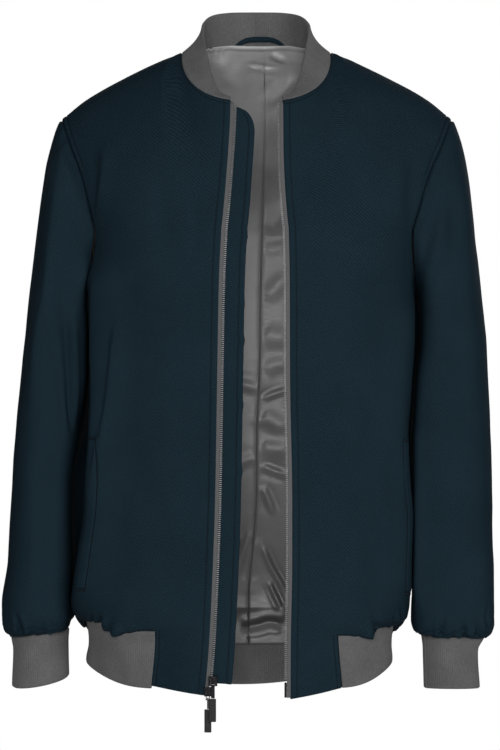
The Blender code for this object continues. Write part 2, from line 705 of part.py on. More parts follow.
# cuffs
for side in (-1, 1):
    T, V = grid(np.arange(20) / 20, steps((0, 0.25, 1), (0.25, 1, 2)))
    wall(f"cuff_{SIDE_NAME[side]}", cuff(side, T, V), cuff_normals(side, T, V), RIB_WALL, RIB, round_=True)


# ---------------------------------------------------------------- what runs along the zip edges
def edge_strip(side, W, near, far, sunk, count=1):
    """Points beside the zip edge: near and far are distances past it, towards the middle."""
    E = torso(side, -1, np.zeros_like(W), W)
    N = torso_normals(side, -1, np.zeros_like(W), W)
    out = unit(E - torso(side, -1, np.full_like(W, 0.03), W))
    d = np.linspace(near, far, count + 1) if np.ndim(near) == 0 and np.ndim(far) == 0 else None
    cols = []
    for k in range(count + 1):
        dist = d[k] if d is not None else mix(np.broadcast_to(near, W.shape), np.broadcast_to(far, W.shape), k / count)
        cols.append(E + out * np.reshape(dist, (-1, 1)) - N * sunk)
    return np.stack(cols, axis=1), np.repeat(N[:, None], count + 1, axis=1)


zip_w = steps((0.02, 1, 2), (1, 2, 8), (2, 3, 2), (3, 3.985, 5))
for side in (-1, 1):
    P, N = edge_strip(side, zip_w, 0.0003, TAPE_WIDTH, 0.0007)
    wall(f"zip_tape_{SIDE_NAME[side]}", P, N, 0.0009, TAPE)
    w = zip_w if side < 0 else np.concatenate([[0.31], zip_w[1:]])  # the left chain ends above its pin
    P, N = edge_strip(side, w, TAPE_WIDTH + 0.0003, TAPE_WIDTH + 0.0003 + CHAIN_WIDTH, 0.0001)
    wall(f"zip_chain_{SIDE_NAME[side]}", P, N, 0.0022, TEETH)

# wind strip behind the right zip, with a rounded upper corner
w = steps((0.20, 0.45, 1), (0.45, 1, 1), (1, 2, 8), (2, 3, 2), (3, 3.80, 3), (3.80, 3.96, 3))
corner = np.clip((w - 3.80) / 0.16, 0, 1)
far = UNDERLAP_WIDTH - 0.0165 * (1 - np.sqrt(np.clip(1 - corner**2, 0, 1)))
sunk = mix(0.0056, 0.0034, ease((w - 0.45) / 0.55))  # deeper at the foot, behind the sliders
P, N = edge_strip(-1, w, -0.008, far, sunk[:, None], count=2)
wall("zip_underlap", P, N, 0.0014, TWILL)


# ---------------------------------------------------------------- pocket welts, on the fronts' own points
for side in (-1, 1):
    U, W = grid(steps((*WELT_U[side], 1)), steps((FOOT_W, TOP_W, 4)))
    P, N = torso(side, -1, U, W), torso_normals(side, -1, U, W)
    wall(f"pocket_welt_{SIDE_NAME[side]}", P + N * 0.0014, N, 0.0010, TWILL)

# ---------------------------------------------------------------- back lining, two halves
LINING_SHIFT = 0.009  # how far its centre seam has swung to the wearer's left
w = np.concatenate([[0.95], back_w])
for side in (-1, 1):
    U, W = grid([0, 0.2, 0.4, 0.7, 1, 1.17, 1.4, 1.7, 1.97], w)
    W_in = np.maximum(W, 1)
    P, N = torso(side, 1, U, W_in), torso_normals(side, 1, U, W_in)
    N[:, 0] = unit(N[:, 0] * (0, 1, 1))
    # its folded foot hangs a little over the band, on the body's section at that height
    high, low = P[0, :, 2], P[0, :, 2] - 0.0135
    half_name = SIDE_NAME[side]
    P[0, :, 0] = middle(low) + (P[0, :, 0] - middle(high)) * along(TORSO, "z", half_name, low) / along(TORSO, "z", half_name, high)
    P[0, :, 1] *= along(TORSO, "z", "back", low) / along(TORSO, "z", "back", high)
    P[0, :, 2] = low
    P[..., 0] += LINING_SHIFT * (1 - ease(np.abs(P[..., 0] - middle(P[..., 2])) / 0.07))
    inset = mix(0.0068, 0.0046, ease((W - 1.0) / 0.5)) + 0.0012 * ease((W - 3.5) / 0.5)
    P = P - N * inset[..., None]
    P = pull_in(P, HALF_GAP, right=False, foot=False, top=False)
    P[-1] += unit(P[-2] - P[-1]) * 0.0018
    wall(f"lining_back_{SIDE_NAME[side]}", P, N, LINING_WALL, SATIN)

# ---------------------------------------------------------------- hanger loop
LOOP_MID, LOOP_HALF, LOOP_RISE = 0.0107, 0.0265, 0.0085
t = steps((-1, 1, 10))
foot = np.stack([LOOP_MID + t * LOOP_HALF, 0.0482 - 0.004 * t * t, 0.0085 + LOOP_RISE * (1 - t**4)], axis=-1)
P = np.stack([foot, foot + np.array([0, 0.0004, 0.0042])])
N = np.broadcast_to(np.array([0.0, 1.0, 0.0]), P.shape)
wall("hanger_loop", P, N, 0.0014, TWILL)


# ---------------------------------------------------------------- sliders, pulls and pin
def box_mesh(bm, lo, hi):
    lo, hi = np.array(lo), np.array(hi)
    made = bmesh.ops.create_cube(bm, size=1.0)
    for v in made["verts"]:
        v.co = ((lo + hi) / 2 + np.array(v.co) * (hi - lo)).tolist()
    return made["verts"]


def bevelled_box(name, lo, hi, bevel, mat, segments=2):
    bm = bmesh.new()
    box_mesh(bm, lo, hi)
    bmesh.ops.bevel(
        bm, geom=bm.verts[:] + bm.edges[:], offset=bevel, segments=segments, affect="EDGES", profile=0.6
    )
    me = bpy.data.meshes.new(name)
    bm.to_mesh(me)
    bm.free()
    me.materials.append(mat)
    me.shade_smooth()
    me.set_sharp_from_angle(angle=math.radians(35))
    ob = bpy.data.objects.new(name, me)
    bpy.context.scene.collection.objects.link(ob)
    return ob


def turned(name, profile, centre, mat, count=16):
    """A ring or rod turned round the X axis: profile is (x, radius) all round it, closed."""
    verts, faces = [], []
    k = len(profile)
    for i in range(count):
        a = 2 * math.pi * i / count
        for x, r in profile:
            verts.append((centre[0] + x, centre[1] + r * math.cos(a), centre[2] + r * math.sin(a)))
    for i in range(count):
        for j in range(k):
            faces.append((i * k + j, i * k + (j + 1) % k, (i + 1) % count * k + (j + 1) % k, (i + 1) % count * k + j))
    return mesh_object(name, verts, faces, mat)


def joined(keep, *others):
    """Unites other solids into keep."""
    for o in others:
        m = keep.modifiers.new("join", "BOOLEAN")
        m.operation = "UNION"
        m.solver = "EXACT"
        m.object = o
        o.hide_render = True
        o.display_type = "WIRE"
    return keep


# Both sliders of the two-way zip sit at its foot, on the right front's chain.
# mid: middle x; top, foot: the body's ends; bar: y and z of the bail's bar; bail: half its width;
# tab: x from and to, top and foot of the rubber grip.
SLIDERS = {
    "upper": dict(
        mid=-0.0380, bridge=-0.0376, top=-0.6488, foot=-0.6590, bar=(-0.1345, -0.6568), bail=0.0033, bail_x=-0.0378,
        tab_x=(-0.0421, -0.0346), tab_z=(-0.6710, -0.6947),
    ),
    "lower": dict(
        mid=-0.0424, bridge=-0.0390, top=-0.6602, foot=-0.6695, bar=(-0.1302, -0.6722), bail=0.0022, bail_x=-0.0430,
        tab_x=(-0.0466, -0.0394), tab_z=(-0.6822, -0.7059),
    ),
}
PLATE_FRONT, PLATE_BACK = -0.1266, -0.1203  # outer faces of a slider's front and back plates
PLATE = 0.0013
ROD_R, EYE_HOLE, EYE_R = 0.0006, 0.0010, 0.0019
PULL = {}

for which, s in SLIDERS.items():
    x, half = s["mid"], 0.0046
    by, bz = s["bar"]
    slider = bevelled_box(
        f"zip_slider_{which}", (x - half, PLATE_FRONT, s["foot"]), (x + half, PLATE_FRONT + PLATE, s["top"]), 0.0003, METAL, 1
    )
    # plain boxes united with the front plate: the back plate, the bridge past the chain, and the bail
    parts = [
        ((x - half, PLATE_BACK - PLATE, s["foot"]), (x + half, PLATE_BACK, s["top"])),
        ((s["bridge"], PLATE_FRONT + PLATE / 2, s["foot"] + 0.001), (s["bridge"] + 0.0016, PLATE_BACK - PLATE / 2, s["top"] - 0.001)),
    ]
    for sx in (-1, 1):
        a = s["bail_x"] + sx * s["bail"]
        b = a - sx * 0.0009
        lo_z = min(bz - 0.0008, s["foot"] + 0.0015)
        parts.append(((min(a, b), by - 0.0008, lo_z), (max(a, b), PLATE_FRONT + PLATE / 2, max(bz + 0.0008, s["foot"] + 0.0030))))
    parts.append(((s["bail_x"] - s["bail"] + 0.0002, by - ROD_R, bz - ROD_R), (s["bail_x"] + s["bail"] - 0.0002, by + ROD_R, bz + ROD_R)))
    for k, (lo, hi) in enumerate(parts):
        o = bevelled_box(f"cut_{which}_{k}", lo, hi, 0.00008, METAL, 1)
        joined(slider, o)

    # the pull turns about the bar: an empty on its axis carries the link and the grip
    axis = bpy.data.objects.new(f"axis_{which}", None)
    axis.location = (s["bail_x"], by, bz)
    bpy.context.scene.collection.objects.link(axis)
    eye_half = s["bail"] - 0.0014
    link = turned(
        f"pull_{which}_link",
        [(-eye_half, EYE_HOLE), (-eye_half, EYE_R), (eye_half, EYE_R), (eye_half, EYE_HOLE)],
        (s["bail_x"], by, bz),
        METAL,
    )
    top, low = s["tab_z"]
    shank = bevelled_box(
        f"shank_{which}", (s["bail_x"] - eye_half, by - 0.0006, top + 0.0004), (s["bail_x"] + eye_half, by + 0.0006, bz - 0.0013), 0.0001, METAL, 1
    )
    joined(link, shank)
    tab = bevelled_box(
        f"pull_{which}_tab", (s["tab_x"][0], by - 0.0013, low), (s["tab_x"][1], by + 0.0013, top), 0.0009, RUBBER, 2
    )
    for o in (link, tab, shank):
        o.parent = axis
        o.matrix_parent_inverse = axis.matrix_basis.inverted()

# insertion pin at the foot of the left tape, below its teeth
E = torso(1, -1, 0.0, 0.10)
bevelled_box(
    "zip_pin_left",
    (E[0] - TAPE_WIDTH - 0.0029, E[1] - 0.0003, -0.6712),
    (E[0] - TAPE_WIDTH - 0.0005, E[1] + 0.0019, -0.6556),
    0.0007,
    METAL,
    2,
)
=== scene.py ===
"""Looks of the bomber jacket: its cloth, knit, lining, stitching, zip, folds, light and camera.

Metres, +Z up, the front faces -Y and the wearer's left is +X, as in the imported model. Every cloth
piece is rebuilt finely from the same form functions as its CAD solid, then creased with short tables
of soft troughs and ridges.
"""
import math

import bmesh
import bpy
import numpy as np
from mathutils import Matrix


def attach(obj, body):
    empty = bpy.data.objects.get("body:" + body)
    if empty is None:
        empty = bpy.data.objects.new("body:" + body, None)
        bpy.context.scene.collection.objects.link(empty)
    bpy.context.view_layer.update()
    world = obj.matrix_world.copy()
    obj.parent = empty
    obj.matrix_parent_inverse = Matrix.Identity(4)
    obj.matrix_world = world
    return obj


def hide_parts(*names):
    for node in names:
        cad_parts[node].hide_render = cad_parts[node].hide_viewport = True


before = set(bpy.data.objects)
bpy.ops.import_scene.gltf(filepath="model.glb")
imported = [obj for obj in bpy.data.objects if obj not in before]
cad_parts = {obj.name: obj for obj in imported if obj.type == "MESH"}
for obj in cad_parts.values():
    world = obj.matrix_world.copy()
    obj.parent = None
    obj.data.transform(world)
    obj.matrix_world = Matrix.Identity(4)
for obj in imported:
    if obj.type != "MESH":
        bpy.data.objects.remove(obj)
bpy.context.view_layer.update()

MM = 0.001

# ---------------------------------------------------------------- sizes, in metres
SHELL_WALL = 0.0020  # twill shell
RIB_WALL = 0.0030  # doubled rib knit
LINING_WALL = 0.0010
SEAM_GAP = 0.0004  # half of it on each side of a seam
UNDERARM_Z = -0.250
CHEST_Z = -0.190  # where the front stops being a tube and arches to the shoulder
SHOULDER_R = 0.2065  # shoulder point, from the centre line
NECK_R = 0.0785  # side neck point, from the centre line
NECK_DROP = 0.0584  # front neck below the origin
NECK_RISE = 0.0115  # back neck above the origin
CORNER_R = 0.0275  # where the neckline meets the zip edge
NECK_SQUARE = 2.5
BODY_SQUARE = 2.6
ARCH_M, ARCH_K = 1.6, 0.6
REST_GAP = 0.0040  # how close a sleeve comes to the body behind the side seam
TAPE_WIDTH = 0.0038
CHAIN_WIDTH = 0.0026
UNDERLAP_WIDTH = 0.0260
POCKET_TOP, POCKET_FOOT = -0.404, -0.564
WELT_WIDTH = 0.015


def table(names, *rows):
    """A short table with named columns, in millimetres, given back in metres."""
    return {n: np.array([r[i] for r in rows], float) * MM for i, n in enumerate(names.split())}


# Level sections of the body, foot to chest: its middle, half width on the wearer's right and
# left, and how far the front and the back stand from the middle.
TORSO = table(
    "z     mid   right left  front back  tab",
    (-690, -10.5, 155, 155, 113, 118, 124),
    (-660, -10.5, 157, 157, 115, 119, 125),
    (-640, -10.5, 158, 158, 116, 120, 126),
    (-622, -10.5, 159.5, 160, 117, 121, 127),
    (-613, -10.5, 162, 164, 118.5, 122.5, 127.5),
    (-606, -10.5, 168, 171, 121.5, 125, 128),
    (-597, -10.5, 174.5, 176.5, 126, 128.5, 129),
    (-580, -10.5, 178, 178.5, 129, 130, 130),
    (-560, -9.2, 176.5, 177, 130, 129, 130),
    (-527, -5.8, 175, 174, 129, 125, 129),
    (-470, -1.9, 171, 170.5, 127, 119, 127),
    (-410, -1.6, 168, 167, 126, 116, 126),
    (-350, 1.0, 169, 168.5, 128, 117, 128),
    (-304, 2.1, 170, 170, 130, 118, 130),
    (-262, 2.3, 171.5, 171.5, 131, 120.5, 131),
    (-250, 2.5, 173, 173, 131, 121, 131),
    (-190, 4.0, 180, 180, 130, 124, 130),
)
MIDDLE = table("z mid", (-190, 4.0), (-130, 5.5), (-70, 7.0), (0, 6.5), (60, 6.0))
# Height of the shoulder ridge along its length, and of its run on into the neck.
RIDGE = table(
    "r z", (0, 55), (40, 40), (62, 20), (78.5, 0), (96.5, -7.4), (141.5, -28.6), (180, -50), (206.5, -71)
)
ARMHOLE = table("z r", (-190, 165.5), (-165, 172.5), (-130, 183), (-99, 196), (-71, 206.5))
# Zip edges of the two fronts, and the lines that run from the tab seams up to the side neck.
EDGE = table(
    "z     right left",
    (-672, -47.5, 41.9),
    (-652, -45.2, 41.9),
    (-612, -41.9, 42.1),
    (-530, -38.0, 43.4),
    (-469, -36.0, 43.4),
    (-341, -33.8, 41.2),
    (-250, -32.2, 40.9),
    (-193, -29.6, 39.8),
    (-120, -25.5, 37.0),
    (-58, -21.0, 34.0),
)
TAB = table("z right left", (-668, 92, 106), (-606, 87.4, 100.6), (-400, 87, 95), (-190, 88, 88), (0, 78.5, 78.5))
TAB_FOOT = table("u right left", (0, -668, -672), (1000, -660, -663))  # u in thousandths from zip to seam
# Height of the hem seam at the centre and at the side.
HEM_FRONT = {-1: (-0.604, -0.609), 1: (-0.609, -0.613)}
HEM_BACK = -0.622
# Upright arms: outer and inner side, half depth, middle of the depth, and how far the inner side
# reaches in behind the side seam (thousandths of the way to the body).
ARM_RIGHT = table(
    "z     outer inner deep mid reach",
    (-612, 252, 192, 33, -12, 0),
    (-607, 258, 191, 42, -12, 300),
    (-598, 261, 189.5, 50, -12, 1000),
    (-580, 261.8, 189.8, 57, -9, 1000),
    (-537, 255.5, 188, 61, -7, 1000),
    (-500, 253.5, 188.2, 62, -5, 1000),
    (-453, 251.2, 187, 65, -2, 1000),
    (-431, 250.2, 184, 66, -1, 1000),
    (-415, 249.0, 180, 67, 0, 1000),
    (-389, 247.0, 175, 68, 1, 1000),
    (-347, 242.7, 172.6, 70, 2, 1000),
    (-325, 240.6, 172.2, 71, 2, 1000),
    (-304, 238.5, 172.0, 72, 1, 1000),
    (-285, 236.2, 172.5, 74, 0, 1000),
)
ARM_LEFT = table(
    "z     outer inner deep mid reach",
    (-612, 248, 177.5, 34, -14, 0),
    (-607, 254, 172, 42, -14, 0),
    (-598, 257.5, 170.0, 47, -14, 0),
    (-580, 257.5, 169.9, 51, -13, 100),
    (-560, 257.5, 170.2, 52, -12, 700),
    (-537, 257, 171.0, 53, -11, 1000),
    (-500, 256.3, 171.3, 55, -9, 1000),
    (-453, 255.8, 171.3, 58, -7, 1000),
    (-410, 254.6, 171.0, 61, -5, 1000),
    (-389, 253.8, 172.4, 63, -4, 1000),
    (-347, 251.9, 175.5, 66, -2, 1000),
    (-325, 250.8, 178.5, 68, -1, 1000),
    (-304, 249.6, 181.0, 70, 0, 1000),
    (-285, 247.6, 181.5, 72, 0, 1000),
)
# Cuffs: width of the tube's middle line from the centre, half widths; t in thousandths of its height.
CUFF_RIGHT = table("t mid wide deep", (0, 221.6, 30.4, 31.5), (250, 221.0, 28.8, 30), (1000, 221.3, 30, 31))
CUFF_LEFT = table("t mid wide deep", (0, 213.8, 33.0, 33), (250, 211.5, 28.9, 30), (1000, 213.0, 29.6, 31))
ARM_FOOT = {-1: (-0.6135, 0.0045), 1: (-0.6165, 0.0020)}  # cuff seam: height, and how much lower it is outside
CUFF_FOOT = {-1: (-0.6628, 0.0052, 0.0035), 1: (-0.6700, 0.0, -0.0015)}  # and how much lower in front
# How the sleeve leaves the armhole. t in thousandths of the way from shoulder to underarm; out,
# forward and down are a direction in thousandths; start and end are handle lengths.
SLEEVE_HEAD = table(
    "t   out fwd down start end",
    (0, 620, 0, 780, 30, 120),
    (120, 600, 280, 750, 28, 95),
    (250, 520, 400, 760, 28, 55),
    (350, 560, 320, 770, 16, 28),
    (420, 620, 160, 770, 11, 16),
    (500, 600, 0, 800, 9, 12),
)
# Upper edge of the collar: t in thousandths from the back to the zip top.
COLLAR_TOP = table(
    "t     r     y     z",
    (0, 0, 52.5, 48.0),
    (92, 21, 49.8, 47.5),
    (184, 38, 42, 45.4),
    (276, 48.6, 30, 41.6),
    (368, 55, 15.5, 35.6),
    (460, 57.5, 1, 28.6),
    (550, 57.3, -11.5, 20.5),
    (640, 56, -24, 11.5),
    (730, 53.5, -37.5, 0.5),
    (820, 49.5, -51.5, -15.0),
    (910, 43, -66.5, -35.0),
    (955, 37, -78, -47.5),
    (1000, 27.2, -91, -53.3),
)


def along(tab, key, name, x):
    """Reads a table's column at x, smoothly and without overshoot."""
    xs, ys = tab[key], tab[name]
    x = np.clip(np.asarray(x, float), xs[0], xs[-1])
    h = np.diff(xs)
    d = np.diff(ys) / h
    m = np.zeros_like(ys)
    same = d[:-1] * d[1:] > 0
    m[1:-1][same] = 2 * d[:-1][same] * d[1:][same] / (d[:-1][same] + d[1:][same])
    m[0], m[-1] = d[0], d[-1]
    i = np.clip(np.searchsorted(xs, x, side="right") - 1, 0, len(xs) - 2)
    t = (x - xs[i]) / h[i]
    return (
        (1 + 2 * t) * (1 - t) ** 2 * ys[i]
        + t * (1 - t) ** 2 * h[i] * m[i]
        + t * t * (3 - 2 * t) * ys[i + 1]
        + t * t * (t - 1) * h[i] * m[i + 1]
    )


def mix(a, b, t):
    return a + (b - a) * t


def ease(t):
    t = np.clip(t, 0, 1)
    return t * t * (3 - 2 * t)


def middle(z):
    return np.where(z < CHEST_Z, along(TORSO, "z", "mid", z), along(MIDDLE, "z", "mid", z))


# ---------------------------------------------------------------- the torso
def hem_seam(side, face, p):
    """Height of the hem seam, p 0 at the centre and 1 at the side."""
    front, at_side = HEM_FRONT[side]
    return mix(front, at_side, p * p) if face < 0 else mix(HEM_BACK, at_side, np.sin(p * math.pi / 2) ** 2)


def torso(side, face, U, W):
    """A point of the shell's outer side. side is -1 on the wearer's right, face is -1 in front.

    U runs 0 to 1 from the zip edge (or the centre back) to the line under the side neck, and on to
    2 at the side seam or armhole. W runs 0 to 1 up the hem tab, 1 to 2 up to the underarm, 2 to 3
    up to the chest line, and 3 to 4 over the chest or shoulder blade to the neckline or the
    shoulder seam.
    """
    U, W = np.broadcast_arrays(np.asarray(U, float), np.asarray(W, float))
    name = "right" if side < 0 else "left"
    n = BODY_SQUARE

    def half(z):
        return along(TORSO, "z", name, z)

    def depth(z):
        d = along(TORSO, "z", "front" if face < 0 else "back", z)
        if face < 0:
            d = mix(d, along(TORSO, "z", "tab", z), 1 - ease(U))
        return d

    def start(z):
        """Distance of the first column from the centre line."""
        if face > 0:
            return np.zeros_like(z)
        return side * (along(EDGE, "z", name, z) - middle(z))

    def line(z):
        return along(TAB, "z", name, z)

    def angle(r, a):
        return np.arcsin(np.clip(r / a, 0, 1) ** (n / 2))

    zh = np.full(U.shape, -0.610)
    p0, p1 = angle(start(zh), half(zh)), angle(line(zh), half(zh))
    p = np.where(U <= 1, mix(p0, p1, U), mix(p1, math.pi / 2, U - 1)) * 2 / math.pi
    seam = hem_seam(side, face, p)
    foot = along(TAB_FOOT, "u", name, np.clip(U, 0, 1))
    under = np.clip(W - 2, 0, 1) * math.pi / 2
    z = np.where(
        W < 1,
        mix(foot, seam, W),
        np.where(W < 2, mix(seam, UNDERARM_Z, W - 1), UNDERARM_Z + (CHEST_Z - UNDERARM_Z) * (1 - np.cos(under))),
    )

    # the tube below the chest line
    arm_r = ARMHOLE["r"][0]
    a, d = half(z), depth(z)
    arm_y = (1 - (arm_r / half(CHEST_Z)) ** n) ** (1 / n) * depth(np.full_like(z, CHEST_Z)) * np.sin(under)
    end = np.where(W <= 2, math.pi / 2, np.arccos(np.clip((arm_y / d) ** (n / 2), 0, 1)))
    end = np.where(W >= 3, angle(arm_r, half(CHEST_Z)), end)
    psi = np.where(
        U <= 1, mix(angle(start(z), a), angle(line(z), a), U), mix(angle(line(z), a), end, U - 1)
    )
    r_low = a * np.sin(psi) ** (2 / n)
    y_low = face * d * np.maximum(np.cos(psi), 0) ** (2 / n)

    # the arches above it
    zc = np.full_like(z, CHEST_Z)
    a0, d0 = half(zc), depth(zc)
    e0 = angle(arm_r, a0)
    psi0 = np.where(
        U <= 1, mix(angle(start(zc), a0), angle(line(zc), a0), U), mix(angle(line(zc), a0), e0, U - 1)
    )
    r0 = a0 * np.sin(psi0) ** (2 / n)
    depth0 = d0 * np.cos(psi0) ** (2 / n)
    w = np.clip(W - 3, 0, 1)
    fa = np.clip(U, 0, 1)
    if face < 0:  # a square-cornered oval, with columns evenly spaced along it
        phi = np.arccos((CORNER_R / NECK_R) ** (NECK_SQUARE / 2)) * (1 - fa) ** 2
        neck_r = NECK_R * np.cos(phi) ** (2 / NECK_SQUARE)
        neck_z = -NECK_DROP * np.sin(phi) ** (2 / NECK_SQUARE)
        fa = (neck_r - CORNER_R) / (NECK_R - CORNER_R)
    else:
        fa = 1 - (1 - fa) ** 1.6
        neck_r = NECK_R * fa
        neck_z = NECK_RISE * (1 - fa * fa)
    top_r = np.where(U <= 1, neck_r, mix(NECK_R, SHOULDER_R, U - 1))
    ridge = along(RIDGE, "r", "z", top_r)
    h_top = np.where(U < 1, np.clip((neck_z - CHEST_Z) / (ridge - CHEST_Z), 0, 1), 1.0)
    tau_top = np.arccos(np.clip(1 - h_top**ARCH_M, 0, 1) ** ARCH_K) * 2 / math.pi
    tau = tau_top * w
    c = np.cos(tau * math.pi / 2)
    h = (1 - np.clip(c, 0, 1) ** (1 / ARCH_K)) ** (1 / ARCH_M)
    z_up = CHEST_Z + (ridge - CHEST_Z) * h
    # distance from the centre line: between the moving inner and outer limits of this height
    r_in = (
        np.zeros_like(z)
        if face > 0
        else mix(side * (along(EDGE, "z", name, z_up) - middle(z_up)), CORNER_R, w)
    )
    # the line under the side neck swings out, to meet the neckline squarely
    r_mid = mix(along(TAB, "z", name, CHEST_Z), NECK_R, ease(w)) + 0.030 * 4 * w * w * (1 - w)
    z_arm = CHEST_Z + (RIDGE["z"][-1] - CHEST_Z) * h
    r_arm = along(ARMHOLE, "z", "r", z_arm)
    s0, k0 = start(zc), line(zc)
    lam_a = mix((r0 - s0) / (k0 - s0), fa, w**4)
    lam_b = mix((r0 - k0) / (arm_r - k0), U - 1, ease(w))
    r_up = np.where(U <= 1, mix(r_in, r_mid, lam_a), mix(r_mid, r_arm, lam_b))
    y_up = face * depth0 * c

    up = W > 3
    zz = np.where(up, z_up, z)
    rr = np.where(up, r_up, r_low)
    yy = np.where(up, y_up, y_low)
    return np.stack([middle(zz) + side * rr, yy, zz], axis=-1)


def unit(v):
    return v / np.maximum(np.linalg.norm(v, axis=-1, keepdims=True), 1e-12)


def normals(form, U, W, box, flip):
    """Outward normals of form(U, W), by small steps kept inside box = (u0, u1, w0, w1)."""
    e = 1e-3
    u0, u1, w0, w1 = box
    # a step never crosses U = 1, where the neckline turns into the shoulder seam
    du = form(np.where(U < 1, np.minimum(U + e, 1), np.minimum(U + e, u1)), W) - form(
        np.where(U < 1, np.maximum(U - e, u0), np.maximum(U - e, 1)), W
    )
    dw = form(U, np.minimum(W + e, w1)) - form(U, np.maximum(W - e, w0))
    return unit(np.cross(du, dw)) * flip


def torso_normals(side, face, U, W):
    U, W = np.broadcast_arrays(np.asarray(U, float), np.asarray(W, float))
    w0 = 0 if face < 0 else 1
    return normals(lambda u, w: torso(side, face, u, w), U, W, (0, 2, w0, 4), -side * face)


# ---------------------------------------------------------------- the sleeves
def armhole(side, T):
    """The armhole seam, T 0 at the shoulder, 0.5 at the underarm, 0.25 in front."""
    T = np.asarray(T, float) % 1.0
    front = T <= 0.5
    t = np.where(front, T, 1 - T)
    W = np.where(t < 0.3, 4 - t / 0.3, 3 - (t - 0.3) / 0.2)
    two = np.full_like(W, 2.0)
    return np.where(front[..., None], torso(side, -1, two, W), torso(side, 1, two, W)), front, W


def arm_ring(side, T, z, tilt=0.0):
    """A level ring of the arm."""
    tab = ARM_RIGHT if side < 0 else ARM_LEFT
    out, inn = along(tab, "z", "outer", z), along(tab, "z", "inner", z)
    deep, mid = along(tab, "z", "deep", z), along(tab, "z", "mid", z)
    a = T * 2 * math.pi
    ca, sa = np.cos(a), np.sin(a)
    # squarer in front on the inner side, where the cloth is pressed against the body
    turn = np.degrees(a) % 360
    ex = 2 / mix(2.35, 3.9, ease((turn - 75) / 30) * ease((192 - turn) / 22))
    cx = np.sign(ca) * np.abs(ca) ** ex
    sy = np.sign(sa) * np.abs(sa) ** ex
    x = (out + inn) / 2 + (out - inn) / 2 * cx
    y = mid - deep * sy
    # the inner side behind reaches in towards the body, to just clear of it
    n = BODY_SQUARE
    depth = np.clip(y / along(TORSO, "z", "back", z), 0, 1)
    body = along(TORSO, "z", "right" if side < 0 else "left", z) * (1 - depth**n) ** (1 / n) + side * middle(z)
    lobe = ease((turn - 180) / 45) * ease((270 - turn) / 45) * along(tab, "z", "reach", z)
    x = side * (x - np.maximum(x - body - REST_GAP, 0) * lobe)
    return np.stack([x, y, z - tilt * cx], axis=-1)


RING_Z = -0.285


def sleeve(side, T, S):
    """The sleeve's outer side: S 0 at the armhole, 1 at the upper arm, 2 at the cuff seam."""
    T, S = np.broadcast_arrays(np.asarray(T, float), np.asarray(S, float))
    t = np.where(T % 1 <= 0.5, T % 1, 1 - T % 1)
    sign = np.where(T % 1 <= 0.5, -1.0, 1.0)
    A = armhole(side, T)[0]
    k = {n: along(SLEEVE_HEAD, "t", n, t) for n in ("out", "fwd", "down", "start", "end")}
    ta = unit(np.stack([side * k["out"], sign * k["fwd"], -k["down"]], axis=-1))
    A = A + ta * 0.0007
    zr = np.full_like(T, RING_Z)
    B = arm_ring(side, T, zr)
    step = 0.004
    tb = unit(arm_ring(side, T, zr - step) - B)
    s = np.clip(S, 0, 1)[..., None]
    C1 = A + ta * k["start"][..., None]
    C2 = B - tb * k["end"][..., None]
    head = (1 - s) ** 3 * A + 3 * (1 - s) ** 2 * s * C1 + 3 * (1 - s) * s * s * C2 + s**3 * B
    foot, tilt = ARM_FOOT[side]
    f = np.clip(S - 1, 0, 1)
    f = mix(f, 1 - (1 - f) ** 1.6, 0.5)  # closer rows towards the gathers
    z = mix(RING_Z, foot + 0.0010, f)
    read = mix(RING_Z, -0.612, f)
    arm = arm_ring(side, T, read, 0.0)
    ca = np.cos(T * 2 * math.pi)
    arm[..., 2] = z - tilt * ca * ease((f - 0.8) / 0.2)
    return np.where((S <= 1)[..., None], head, arm)


def sleeve_normals(side, T, S):
    T, S = np.broadcast_arrays(np.asarray(T, float), np.asarray(S, float))
    e = 2e-3
    dt = sleeve(side, T + e, S) - sleeve(side, T - e, S)
    ds = sleeve(side, T, np.minimum(S + e, 2)) - sleeve(side, T, np.maximum(S - e, 0))
    return unit(np.cross(dt, ds)) * side


def seam_blend(own, other):
    """Own normals leaned halfway to the neighbour's where the seam runs on smoothly."""
    w = np.clip(np.sum(own * other, axis=-1, keepdims=True), 0, 1) ** 0.5
    return unit(own + w * other)


# ---------------------------------------------------------------- collar, hem band, cuffs
def neck_seam(T):
    """The neck seam, T -1 at the right zip top, 0 at the centre back, 1 at the left zip top."""
    T = np.asarray(T, float)
    t = np.abs(T)
    split = 0.46  # the side neck point
    back = torso(-1, 1, np.clip(t / split, 0, 1), np.full_like(t, 4.0))
    front = torso(-1, -1, np.clip(1 - (t - split) / (1 - split), 0, 1), np.full_like(t, 4.0))
    p = np.where((t < split)[..., None], back, front)
    m = middle(p[..., 2])
    p[..., 0] = m + np.sign(T) * np.abs(p[..., 0] - m)
    return p


def collar(T, V):
    """The collar's outer side: V 0 at the neck seam, 1 at its upper edge."""
    T, V = np.broadcast_arrays(np.asarray(T, float), np.asarray(V, float))
    base = neck_seam(T)
    t = np.abs(T)
    r, y, z = (along(COLLAR_TOP, "t", n, t) for n in ("r", "y", "z"))
    m = 0.0062
    top = np.stack([m + np.sign(T) * r, y, z], axis=-1)
    rise = top - base
    # the strip leaves the seam leaning in, then stands up
    v = V[..., None]
    bow = np.stack([-np.sign(T) * np.clip(r / 0.0565, 0, 1), 0 * r, 0 * r], axis=-1) * 0.0045
    size = np.linalg.norm(rise, axis=-1, keepdims=True) / 0.036
    return base + unit(rise) * 0.0006 + rise * v * 0.98 + bow * size * (v * (1 - v) * 4)


def collar_normals(T, V):
    T, V = np.broadcast_arrays(np.asarray(T, float), np.asarray(V, float))
    return normals(collar, T, V, (-1, 1, 0, 1), -1)


